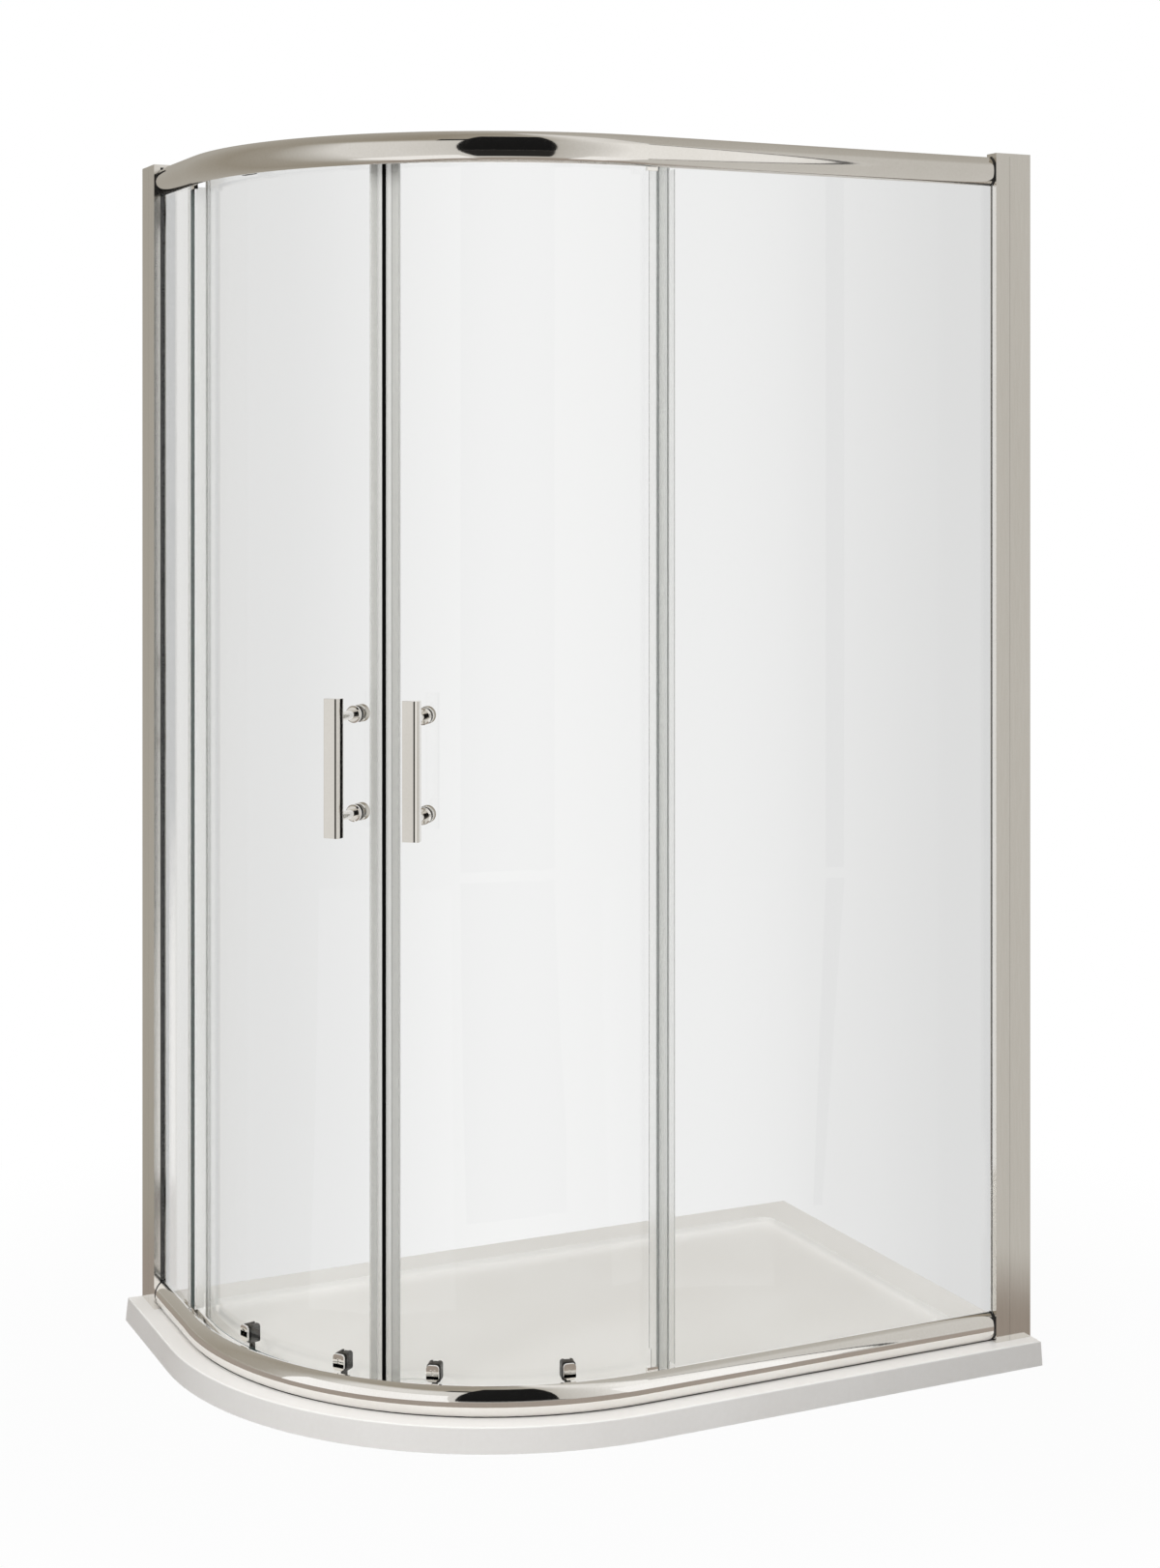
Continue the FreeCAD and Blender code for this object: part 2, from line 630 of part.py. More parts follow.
def make_bottom_rail():
    """Bottom rail: round face, slot for the fixed glass, floor for the guide wheels."""
    rail = body("low_rail", z="tray_height")
    section = rail_section(rail, "low_rail_section", [
        ("rail_inset", "rail_height", "bulge_radius", "right"), ("rail_inset", "0"),
        ("guide_back", "0"), ("guide_back", "guide_floor + guide_lip"),
        ("guide_back - guide_lip_width", "guide_floor + guide_lip"),
        ("guide_back - guide_lip_width", "guide_floor"), ("slot_back", "guide_floor"),
        ("slot_back", "slot_wall_height"), ("slot_in", "slot_wall_height"),
        ("slot_in", "slot_floor"), ("slot_out", "slot_floor"), ("slot_out", "rail_height")],
        [bulge_chamber()])
    sweep_rail(rail, section, rail_path(rail, "low_rail_line"))
    return node("bottom_rail", rail)


def make_top_rail():
    """Top rail: round face, slot for the fixed glass, wheel track and a roof over it."""
    rail = body("high_rail", z="top_rail_z")
    section = rail_section(rail, "high_rail_section", [
        ("rail_inset", "rail_height", "bulge_radius", "right"), ("rail_inset", "0"),
        ("slot_out", "0"), ("slot_out", "slot_roof"), ("slot_in", "slot_roof"),
        ("slot_in", "rail_wall * 2"), ("slot_back", "rail_wall * 2"),
        ("slot_back", "track_level - track_thickness"),
        ("track_back", "track_level - track_thickness"), ("track_back", "track_level"),
        ("slot_back", "track_level"), ("slot_back", "rail_height - rail_wall"),
        ("roof_back", "rail_height - rail_wall"), ("roof_back", "rail_height")],
        [bulge_chamber()])
    sweep_rail(rail, section, rail_path(rail, "high_rail_line"))
    return node("top_rail", rail)


def rail_end(side):
    """Where a rail meets its frame profile: x, y and the angle of the way into the rail."""
    if side == "left":
        return ("rail_inset - half_length", "left_frame_y", "-90")
    return ("right_frame_x", "rail_inset - half_width", "180")


def make_rail_end_caps():
    """Black plugs between the ends of the rails and the frame profiles."""
    caps = []
    for level, base in (("low", "tray_height"), ("high", "top_rail_z")):
        for side in ("left", "right"):
            x, y, angle = rail_end(side)
            name = "%s_%s_cap" % (level, side)
            cap = body(name, x, y, base, angle)
            sign, bulge = ("-1", "right") if side == "left" else ("1", "left")
            face = new_sketch(cap, name + "_face", "YZ_Plane")
            outline(face, [
                ("0", "rail_height", "bulge_radius", bulge),
                ("0", "0"), ("%s * (rail_inset - slot_out)" % sign, "0"),
                ("%s * (rail_inset - slot_out)" % sign, "rail_height")])
            pad(cap, face, "rail_cap_thickness")
            plug = new_sketch(cap, name + "_plug", "YZ_Plane")
            back = "%s * (rail_inset - chamber_back + slide_gap)" % sign
            outline(plug, [
                (back, "rail_height / 2 + chamber_half - slide_gap * 3",
                 "bulge_radius - rail_wall - slide_gap", bulge),
                (back, "rail_height / 2 - chamber_half + slide_gap * 3")])
            pad(cap, plug, "rail_cap_thickness + rail_cap_plug")
            hole = circle(new_sketch(cap, name + "_hole", "YZ_Plane"),
                          "%s * (rail_inset - rail_screw_inset)" % sign, "rail_height / 2",
                          "rail_screw_size + 2 * fit_gap")
            pocket(cap, hole, "rail_cap_thickness + rail_cap_plug")
            caps.append(cap)
    return node("rail_end_caps", *caps)


def make_rail_screws():
    """Screws from inside each frame profile into the ends of the rails."""
    screws = []
    for level, base in (("low", "tray_height"), ("high", "top_rail_z")):
        for side in ("left", "right"):
            name = "rail_screw_%s_%s" % (level, side)
            angle = rail_end(side)[2]
            x, y = post_point(side, "rail_screw_inset", "frame_front_" + side)
            screws.append(turned_piece(name, [
                ("-channel_wall - rail_screw_head_height", "0"), ("rail_screw_length - 2", "0"),
                ("rail_screw_length - 3", "rail_screw_size / 2"),
                ("-channel_wall", "rail_screw_size / 2"), ("-channel_wall", "rail_screw_head / 2"),
                ("-channel_wall - rail_screw_head_height / 2", "rail_screw_head / 2"),
                ("-channel_wall - rail_screw_head_height", "rail_screw_head / 2 - 1")],
                x, y, base + " + rail_height / 2", angle))
    return node("rail_fixing_screws", *screws)


# ------------------------------------------------------------------ fixed glass and its seals
def panel_point(side, inset, past):
    """A plan point by a fixed panel: its inset, and how far it lies past the free edge."""
    if side == "left":
        return ("%s - half_length" % inset, "left_edge_y + (%s)" % past)
    return ("right_edge_x + (%s)" % past, "%s - half_width" % inset)


def panel_outline(side, corners):
    return [panel_point(side, inset, past) for inset, past in corners]




def make_fixed_glass(side):
    """Flat toughened pane from the frame profile's pocket to its free edge."""
    pane = body(side + "_pane", z="fixed_glass_z")
    width = side + "_panel_width"
    sketch = outline(new_sketch(pane, side + "_pane_plan"), panel_outline(side, [
        ("fixed_glass_inset", "0"), ("fixed_glass_back", "0"),
        ("fixed_glass_back", width), ("fixed_glass_inset", width)]))
    pad(pane, sketch, "fixed_glass_top - fixed_glass_z")
    return node(side + "_fixed_glass", pane)


def make_panel_seals():
    """Clear seals on the free edges, with a fin that reaches in to the door."""
    seals = []
    foot = "bottom_rail_top + slide_gap"
    for side in ("left", "right"):
        seal = body(side + "_edge_seal", z=foot)
        out = "fixed_glass_inset - seal_gap - seal_wall"
        back = "fixed_glass_back + seal_gap + seal_wall"
        web = "-seal_gap - seal_wall"
        notch_sweep = "fin_sweep * (fin_notch_inset - fixed_glass_back)" \
            " / (fin_tip_inset - fixed_glass_back)"
        sketch = outline(new_sketch(seal, side + "_edge_seal_plan"), panel_outline(side, [
            (out, web), (back, web),
            ("fin_notch_inset", web + " - " + notch_sweep),
            ("fin_notch_inset", web + " - " + notch_sweep + " + fin_wall"),
            (back, web + " + fin_wall"), (back, "fixed_seal_grip"),
            ("fixed_glass_back + seal_gap", "fixed_seal_grip"),
            ("fixed_glass_back + seal_gap", "-seal_gap"),
            ("fixed_glass_inset - seal_gap", "-seal_gap"),
            ("fixed_glass_inset - seal_gap", "fixed_seal_grip"), (out, "fixed_seal_grip")]))
        pad(seal, sketch, "top_rail_z - slide_gap - (%s)" % foot)
        tip = outline(new_sketch(seal, side + "_fin_tip_plan", lift="fin_notch_height"),
                      panel_outline(side, [
                          ("fin_notch_inset - 0.5", web + " - " + notch_sweep + " + 0.12"),
                          ("fin_tip_inset", web + " - fin_sweep"),
                          ("fin_tip_inset", web + " - fin_sweep + fin_wall"),
                          ("fin_notch_inset - 0.5",
                           web + " - " + notch_sweep + " + fin_wall + 0.12")]))
        pad(seal, tip, "top_rail_z - slide_gap - (%s) - fin_notch_height" % foot)
        seals.append(seal)
    return node("panel_edge_seals", *seals)


def make_gaskets():
    """Black glazing wedges between the frame lips and the outer faces of the glass."""
    gaskets = []
    for side in ("left", "right"):
        front = "frame_front_" + side
        gasket = body(side + "_gasket", z="tray_height + slide_gap")
        sketch = outline(new_sketch(gasket, side + "_gasket_plan"), post_outline(side, [
            ("post_face + lip_width + gasket_gap", front + " - 1"),
            ("fixed_glass_inset - gasket_gap", front + " - 2.5"),
            ("fixed_glass_inset - gasket_gap", front + " - 13"),
            ("post_face + lip_width + gasket_gap", front + " - 13")]))
        pad(gasket, sketch, "post_height - 2 * slide_gap")
        gaskets.append(gasket)
    return node("glazing_gaskets", *gaskets)


def make_clips():
    """Blocks in the rail slots that hold the corners of the fixed panels."""
    clips = []
    for side in ("left", "right"):
        for level, base, height in (
                ("low", "tray_height + slot_floor",
                 "rail_height - slot_floor + clip_rise"),
                ("high", "top_rail_z - clip_rise", "slot_roof + clip_rise")):
            name = "%s_%s_clip" % (side, level)
            clip = body(name, z=base)
            near = "-clip_gap"
            far = "-clip_gap - clip_length"
            sketch = outline(new_sketch(clip, name + "_plan"), panel_outline(side, [
                ("fixed_glass_inset", far), ("fixed_glass_back", far),
                ("fixed_glass_back", near), ("fixed_glass_inset", near)]))
            pad(clip, sketch, height)
            clips.append(clip)
    return node("fixed_panel_clips", *clips)


def make_stops():
    """Rubber stops on the top track, just past each door's last wheel when it is open."""
    reach = ("(top_wheel_out - top_wheel_width / 2) * sin(%s)"
             " + top_wheel_spread / 2 + top_wheel_radius + stop_gap")
    stops = []
    for side in ("left", "right"):
        swing = "{0} + {1}_travel - meeting_angle".format(turned("trail_roller_setback"), side)
        if side == "right":
            swing = "%s + right_travel + meeting_angle - 90" % turned("trail_roller_setback")
        stop = body(side + "_stop", z="top_rail_z + track_level")
        near = reach % swing
        inner, outer = "slot_back", "track_back - 1"
        if side == "left":
            spots = rectangle(inner + " - half_length", "arc_y + " + near,
                              outer + " - half_length", "arc_y + %s + stop_length" % near)
        else:
            spots = rectangle("arc_x + " + near, inner + " - half_width",
                              "arc_x + %s + stop_length" % near, outer + " - half_width")
        pad(stop, outline(new_sketch(stop, side + "_stop_plan"), spots), "stop_height")
        stops.append(stop)
    return node("door_stops", *stops)


# ------------------------------------------------------------------ doors
def round_curve(side, run):
    """The angle round the curve of a point of a door, by its run from the meeting line."""
    sign = "-" if side == "left" else "+"
    return "meeting_angle %s %s" % (sign, turned(run))


def handed(side, run):
    """A run along the glass, away from the meeting line, on the body's own Y."""
    return "-(%s)" % run if side == "left" else run


def ring_outline(side, corners):
    """A closed plan outline on the door's circle: corners are (radius, run[, inward])."""
    spots = []
    for corner in corners:
        radius, run = corner[0], corner[1]
        if len(corner) == 2:
            spots.append(ring_point(radius, handed(side, run)))
        else:
            forward = corner[2] == "away"
            turns_right = forward if side == "right" else not forward
            spots.append(ring_point(radius, handed(side, run),
                                    "right" if turns_right else "left"))
    return spots


def make_door_glass(side):
    """Curved toughened glass with holes for its handle and its rollers."""
    pane = door_body(side + "_curved_pane", round_curve(side, "lead_cover"), "door_z")
    section = outline(new_sketch(pane, side + "_glass_section", "XZ_Plane"),
                      rectangle("door_inner", "0", "door_outer", "door_height"))
    revolve(pane, section, "V_Axis", turned("glass_width"), back=(side == "left"))
    drillings = (
        ("handle", side + "_handle_setback",
         ("handle_z - handle_spacing / 2", "handle_z + handle_spacing / 2"), "handle_hole"),
        ("lead_top", "lead_roller_setback", ("top_rail_z + top_bolt_height",), "top_bolt_hole"),
        ("trail_top", "trail_roller_setback", ("top_rail_z + top_bolt_height",),
         "top_bolt_hole"),
        ("lead_low", "lead_roller_setback", ("tray_height + roller_stud_height",),
         "roller_stud_hole"),
        ("trail_low", "trail_roller_setback", ("tray_height + roller_stud_height",),
         "roller_stud_hole"))
    for name, setback, heights, diameter in drillings:
        turn = turned(setback + " - lead_cover")
        holes = new_sketch(pane, "%s_%s_holes" % (side, name), "YZ_Plane",
                           turn="-(%s)" % turn if side == "left" else turn)
        for height in heights:
            circle(holes, "0", "%s - door_z" % height, diameter)
        pocket(pane, holes, "tray_radius")
    return node(side + "_door_glass", pane)


def make_magnet_seal(side):
    """Clear profile over the leading edge, with a nose that carries the magnet strip."""
    seal = door_body(side + "_lead_seal", "meeting_angle", "door_z")
    near = "meeting_gap / 2 + magnet_strip_width"
    nose = near + " + seal_nose"
    far = near + " + magnet_seal_width - magnet_strip_width"
    out = "door_outer + seal_gap"
    back = "door_inner - seal_gap"
    sketch = outline(new_sketch(seal, side + "_lead_seal_plan"), ring_outline(side, [
        (back + " - seal_wall", near), (out + " + seal_wall", near, "away"),
        (out + " + seal_wall", far), (out, far, "home"), (out, nose), (back, nose, "away"),
        (back, far), (back + " - seal_wall", far, "home")]))
    pad(seal, sketch, "door_height")
    return node(side + "_magnet_seal", seal)


def make_magnet_strip(side):
    """Black magnet strip on the nose of the leading seal."""
    strip = door_body(side + "_strip", "meeting_angle", "door_z")
    middle = "door_outer - glass_thickness / 2"
    sketch = outline(new_sketch(strip, side + "_strip_plan"), rectangle(
        middle + " - magnet_strip_depth / 2", handed(side, "meeting_gap / 2"),
        middle + " + magnet_strip_depth / 2",
        handed(side, "meeting_gap / 2 + magnet_strip_width - fit_gap")))
    pad(strip, sketch, "door_height")
    return node(side + "_magnet_strip", strip)


def make_trailing_seal(side):
    """Clear profile over the trailing edge, with a fin that meets the fixed panel's."""
    seal = door_body(side + "_trail_seal", round_curve(side, "door_width"), "door_z")
    out = "door_outer + seal_gap"
    back = "door_inner - seal_gap"
    far = "trailing_seal_width"
    other = "right" if side == "left" else "left"
    sketch = outline(new_sketch(seal, side + "_trail_seal_plan"), ring_outline(other, [
        (back + " - seal_wall", "0"), (out + " + seal_wall", "0", "away"),
        (out + " + seal_wall", far), (out, far, "home"), (out, "seal_wall"),
        (back, "seal_wall", "away"), (back, far), (back + " - seal_wall", far, "home")]))
    pad(seal, sketch, "door_height")
    fin = new_sketch(seal, side + "_trail_fin_plan", lift="bottom_rail_top + slide_gap - door_z")
    outline(fin, rectangle(
        out, handed(other, "0.2"), out + " + trailing_fin_reach", handed(other, "seal_wall")))
    pad(seal, fin, "top_rail_z - bottom_rail_top - 2 * slide_gap")
    return node(side + "_trailing_seal", seal)


def handle_angle(side):
    return round_curve(side, side + "_handle_setback")


def make_handle(side):
    """D-section pull bar on two turned posts, with washers and inner knobs."""
    angle = handle_angle(side)
    bar = door_body(side + "_bar", angle, "handle_z - handle_length / 2")
    half = "handle_width / 2"
    front = "bar_back + handle_depth"
    plan = new_sketch(bar, side + "_bar_plan")
    outline(plan, [
        ("bar_back", half + " - handle_back_round"),
        ("bar_back", "handle_back_round - " + half, "handle_back_round", "right"),
        ("bar_back + handle_back_round", "-" + half),
        (front + " - handle_front_round", "-" + half, "handle_front_round", "right"),
        (front, "handle_front_round - " + half),
        (front, half + " - handle_front_round", "handle_front_round", "right"),
        (front + " - handle_front_round", half),
        ("bar_back + handle_back_round", half, "handle_back_round", "right")])
    pad(bar, plan, "handle_length")
    bores = new_sketch(bar, side + "_bar_bores", "YZ_Plane", lift="bar_back - 1")
    for height in ("handle_length / 2 - handle_spacing / 2",
                   "handle_length / 2 + handle_spacing / 2"):
        circle(bores, "0", height, "handle_bore")
    pocket(bar, bores, "handle_bore_depth + 1.5")
    node(side + "_handle_bar", bar)
    posts, washers, knobs = [], [], []
    for level, sign in (("low", "-"), ("high", "+")):
        height = "handle_z %s handle_spacing / 2" % sign
        where = ("arc_x", "arc_y", height, "180 + " + angle)
        tag = "%s_%s" % (side, level)
        collar_front = "collar_back + collar_thickness"
        knob_end = "knob_seat - knob_neck_length"
        posts.append(turned_piece("post_" + tag, [
            (knob_end + " - knob_bore_depth / 2", "0"), ("bar_back + handle_bore_depth", "0"),
            ("bar_back + handle_bore_depth", "handle_bore / 2 - fit_gap"),
            ("bar_back", "handle_bore / 2 - fit_gap"), ("bar_back", "stem_diameter / 2"),
            (collar_front, "stem_diameter / 2"),
            (collar_front, "collar_diameter / 2 - 2"),
            (collar_front + " - 2", "collar_diameter / 2"),
            ("collar_back", "collar_diameter / 2"), ("collar_back", "handle_stud / 2"),
            (knob_end + " - knob_bore_depth / 2", "handle_stud / 2")], *where))
        for name, low, high in (("outer", "door_outer", "collar_back"),
                                ("inner", "knob_seat", "door_inner - washer_sag")):
            washers.append(turned_piece("%s_washer_%s" % (name, tag), [
                (low + " + fit_gap", "handle_stud / 2 + 0.2"),
                (high + " - fit_gap", "handle_stud / 2 + 0.2"),
                (high + " - fit_gap", "washer_radius"),
                (low + " + fit_gap", "washer_radius")], *where))
        knobs.append(turned_piece("knob_" + tag, [
            (knob_end + " - knob_thickness", "0"),
            (knob_end + " - knob_bore_depth / 2 - 1", "0"),
            (knob_end + " - knob_bore_depth / 2 - 1", "handle_stud / 2 + fit_gap"),
            ("knob_seat", "handle_stud / 2 + fit_gap"), ("knob_seat", "knob_diameter / 2 - 1"),
            ("knob_seat - 2", "knob_diameter / 2 - 1"), ("knob_seat - 2", "knob_neck / 2"),
            (knob_end, "knob_neck / 2"), (knob_end, "knob_diameter / 2 - knob_chamfer"),
            (knob_end + " - knob_chamfer", "knob_diameter / 2"),
            (knob_end + " - knob_thickness + 2 * knob_chamfer", "knob_diameter / 2"),
            (knob_end + " - knob_thickness + knob_chamfer", "knob_diameter / 2 - knob_chamfer"),
            (knob_end + " - knob_thickness", "knob_face / 2")], *where))
    node(side + "_handle_posts", *posts)
    node(side + "_handle_washers", *washers)
    node(side + "_handle_knobs", *knobs)


def top_wheel_offsets():
    return ("-top_wheel_spread / 2", "top_wheel_spread / 2")


def make_top_rollers(side):
    """Two hangers, each with a pair of grooved wheels that run on the top track."""
    brackets, axles = [], []
    wheel = 0
    for place, setback in (("lead", "lead_roller_setback"), ("trail", "trail_roller_setback")):
        angle = round_curve(side, setback)
        tag = "%s_%s" % (side, place)
        bracket = door_body("hanger_" + tag, angle, "top_rail_z")
        half = "bracket_width / 2"
        section = outline(new_sketch(bracket, tag + "_hanger_section", "XZ_Plane",
                                     lift="-(%s)" % half), [
            ("bracket_back", "bracket_foot"),
            ("bracket_back + bracket_pad", "bracket_foot"),
            ("bracket_back + bracket_pad", "bracket_shoulder - 2"),
            ("bracket_back + bracket_leaf", "bracket_shoulder"),
            ("bracket_back + bracket_leaf", "bracket_top"), ("bracket_back", "bracket_top")])
        pad(bracket, section, "bracket_width")
        bolt = circle(new_sketch(bracket, tag + "_bolt", "YZ_Plane", lift="bracket_back + 1"),
                      "0", "top_bolt_height", "top_bolt_size")
        pad(bracket, bolt, "door_outer - bracket_back - 1 + slide_gap + 1")
        head = circle(new_sketch(bracket, tag + "_bolt_head", "YZ_Plane",
                                 lift="door_outer + slide_gap"),
                      "0", "top_bolt_height", "top_bolt_head")
        pad(bracket, head, "top_bolt_head_height")
        pins = new_sketch(bracket, tag + "_pin_holes", "YZ_Plane", lift="bracket_back - 1")
        for offset in top_wheel_offsets():
            circle(pins, offset, "top_wheel_z - top_rail_z", "axle_diameter")
        pocket(bracket, pins, "bracket_leaf + 2")
        brackets.append(bracket)
        for offset in top_wheel_offsets():
            wheel += 1
            axles.append(offset_turned("axle_%s_%d" % (tag, wheel), [
                ("bracket_back - 1.5", "0"), ("top_wheel_out + 1", "0"),
                ("top_wheel_out + 1", "axle_diameter / 2 + 1"),
                ("top_wheel_out + 0.2", "axle_diameter / 2 + 1"),
                ("top_wheel_out + 0.2", "axle_diameter / 2 - axle_clearance"),
                ("bracket_back + bracket_leaf", "axle_diameter / 2 - axle_clearance"),
                ("bracket_back", "axle_diameter / 2 - axle_clearance"),
                ("bracket_back", "axle_diameter / 2 + 1.5"),
                ("bracket_back - 1.5", "axle_diameter / 2 + 1")],
                angle, offset, "top_wheel_z"))
            node("%s_top_wheel_%d" % (side, wheel), offset_turned(
                "wheel_%s_%d" % (side, wheel), wheel_section(
                    "top_wheel_in", "top_wheel_out", "top_wheel_radius",
                    "axle_diameter / 2"), angle, offset, "top_wheel_z"))
    node(side + "_top_roller_brackets", *brackets)
    node(side + "_top_roller_axles", *axles)


def wheel_section(low, high, radius, bore):
    """Half-section of a wheel with a shallow groove round its tread."""
    return [
        (low, bore), (high, bore), (high, radius + " - wheel_chamfer"),
        (high + " - wheel_chamfer", radius),
        ("(%s + %s) / 2" % (low, high), radius + " - wheel_groove"),
        (low + " + wheel_chamfer", radius), (low, radius + " - wheel_chamfer")]


def offset_turned(name, corners, angle, shift, z):
    """A piece turned about a line parallel to the door's own +X, shifted along its Y."""
    x = "arc_x - (%s) * sin(180 + %s)" % (shift, angle)
    y = "arc_y + (%s) * cos(180 + %s)" % (shift, angle)
    return turned_piece(name, corners, x, y, z, "180 + " + angle)


def rounded_plate(low_y, low_z, high_y, high_z, corner):
    """A rectangle with round corners in a body's YZ plane."""
    return [
        ("%s + %s" % (low_y, corner), low_z),
        ("%s - %s" % (high_y, corner), low_z, corner, "right"),
        (high_y, "%s + %s" % (low_z, corner)),
        (high_y, "%s - %s" % (high_z, corner), corner, "right"),
        ("%s - %s" % (high_y, corner), high_z),
        ("%s + %s" % (low_y, corner), high_z, corner, "right"),
        (low_y, "%s - %s" % (high_z, corner)),
        (low_y, "%s + %s" % (low_z, corner), corner, "right")]


def make_bottom_rollers(side):
    """Two quick-release guides: outer cap, inner housing, spring slide and wheel."""
    caps, housings = [], []
    for number, setback in ((1, "lead_roller_setback"), (2, "trail_roller_setback")):
        angle = round_curve(side, setback)
        tag = "%s_%d" % (side, number)
        # Outer cap with a keyhole slot, and the stud that clamps it through the glass.
        cap = door_body("roller_cap_" + tag, angle, "tray_height")
        face = new_sketch(cap, tag + "_cap_face", "YZ_Plane", lift="door_outer + 0.2")
        outline(face, rounded_plate(
            "-roller_cap_width / 2", "roller_cap_bottom", "roller_cap_width / 2",
            "roller_cap_bottom + roller_cap_height", "roller_cap_round"))
        pad(cap, face, "roller_cap_depth")
        stud = circle(new_sketch(cap, tag + "_cap_stud", "YZ_Plane",
                                 lift="slider_front + 1.3"), "0", "roller_stud_height",
                      "roller_stud")
        pad(cap, stud, "door_outer + 0.5 - (slider_front + 1.3)")
        key = new_sketch(cap, tag + "_key", "YZ_Plane",
                         lift="door_outer + 0.2 + roller_cap_depth - key_slot_depth")
        top = "roller_cap_bottom + roller_cap_height - 4"
        outline(key, [
            ("-key_slot * 1.5", top), ("-key_slot * 1.5", top + " - key_slot"),
            ("-key_slot / 2", top + " - key_slot"), ("-key_slot / 2", top + " - key_slot * 3"),
            ("key_slot / 2", top + " - key_slot * 3"), ("key_slot / 2", top + " - key_slot"),
            ("key_slot * 1.5", top + " - key_slot"), ("key_slot * 1.5", top)])
        pocket(cap, key, "roller_cap_depth")
        caps.append(cap)
        # Inner housing with a channel for the slide.
        front = "door_inner - 0.4"
        housing = door_body("roller_housing_" + tag, angle, "tray_height")
        block = new_sketch(housing, tag + "_housing_face", "YZ_Plane",
                           lift=front + " - housing_depth")
        outline(block, rounded_plate(
            "-housing_width / 2", "housing_bottom", "housing_width / 2",
            "housing_bottom + housing_height", "housing_round"))
        pad(housing, block, "housing_depth")
        way = new_sketch(housing, tag + "_housing_way", "XY_Plane", lift="housing_bottom - 1")
        outline(way, rectangle(
            "slider_back_radius - slide_gap", "-slider_width / 2 - slide_gap",
            "slider_front + slide_gap", "slider_width / 2 + slide_gap"))
        pocket(housing, way, "housing_height + 2")
        window = new_sketch(housing, tag + "_housing_window", "XZ_Plane",
                            lift="-slider_width / 2 - slide_gap")
        outline(window, rectangle(
            front + " - housing_depth - 1", "slider_top - slider_thumb_height - slide_gap",
            "slider_back_radius + 1", "housing_bottom + housing_height + 1"))
        pocket(housing, window, "slider_width + 2 * slide_gap")
        socket = circle(new_sketch(housing, tag + "_stud_socket", "YZ_Plane",
                                   lift="slider_front + 1"), "0", "roller_stud_height",
                        "roller_stud + 2 * fit_gap")
        pocket(housing, socket, "housing_depth")
        housings.append(housing)
        # The slide: thumb tab, stem, foot under the glass and the wheel's axle.
        slide = door_body("slide_" + tag, angle, "tray_height")
        section = new_sketch(slide, tag + "_slide_section", "XZ_Plane",
                             lift="-slider_width / 2")
        outline(section, [
            ("slider_back_radius", "slider_foot_bottom + 2"),
            ("slider_back_radius + 2", "slider_foot_bottom"),
            ("bottom_wheel_in - 1", "slider_foot_bottom"),
            ("bottom_wheel_in - 1", "slider_foot_top"), ("slider_front", "slider_foot_top"),
            ("slider_front", "slider_top"), ("slider_back_radius - slider_thumb", "slider_top"),
            ("slider_back_radius - slider_thumb", "slider_top - slider_thumb_height"),
            ("slider_back_radius", "slider_top - slider_thumb_height")])
        pad(slide, section, "slider_width")
        axle = new_sketch(slide, tag + "_slide_axle", "YZ_Plane", lift="bottom_wheel_in - 2")
        circle(axle, "0", "bottom_wheel_z - tray_height", "bottom_axle - 2 * axle_clearance")
        pad(slide, axle, "bottom_wheel_width + 2.4")
        rivet = new_sketch(slide, tag + "_slide_rivet", "YZ_Plane",
                           lift="bottom_wheel_out + 0.2")
        circle(rivet, "0", "bottom_wheel_z - tray_height", "bottom_axle + 3")
        pad(slide, rivet, "1")
        node("%s_release_slide_%d" % (side, number), slide)
        node("%s_bottom_wheel_%d" % (side, number), turned_piece(
            "guide_wheel_" + tag, wheel_section(
                "bottom_wheel_in", "bottom_wheel_out", "bottom_wheel_radius",
                "bottom_axle / 2"), "arc_x", "arc_y", "bottom_wheel_z", "180 + " + angle))
    node(side + "_bottom_roller_caps", *caps)
    node(side + "_bottom_roller_housings", *housings)


# ------------------------------------------------------------------ build, check, write
def make_all():
    make_tray()
    for side in ("left", "right"):
        make_wall_channel(side)
        make_frame_profile(side)
        make_fixed_glass(side)
    make_post_caps()
    make_clamp_screws_and_caps()
    make_bottom_rail()
    make_top_rail()
    make_rail_end_caps()
    make_rail_screws()
    make_panel_seals()
    make_gaskets()
    make_clips()
    make_stops()
    for side in ("left", "right"):
        make_door_glass(side)
        make_magnet_seal(side)
        make_magnet_strip(side)
        make_trailing_seal(side)
        make_handle(side)
        make_top_rollers(side)
        make_bottom_rollers(side)
    doc.recompute()


def check_all():
    for thing in doc.Objects:
        bad = [s for s in thing.State if s in ("Invalid", "Error")]
        if bad:
            raise RuntimeError("%s is %s" % (thing.Name, bad))
    for made in NODES:
        if made.Shape.isNull() or not made.Shape.isValid() or not made.Shape.Solids:
            raise RuntimeError("%s has no valid shape" % made.Label)


def write_all():
    os.makedirs("parts", exist_ok=True)
    for made in NODES:
        made.Shape.exportStep("parts/%s.step" % made.Label)
        box = made.Shape.BoundBox
        print("%-30s solids %2d  volume %12.1f  x %8.1f %8.1f  y %8.1f %8.1f  z %8.1f %8.1f" % (
            made.Label, len(made.Shape.Solids), made.Shape.Volume,
            box.XMin, box.XMax, box.YMin, box.YMax, box.ZMin, box.ZMax))


make_all()
check_all()
write_all()
print("nodes:", len(NODES))
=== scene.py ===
import math

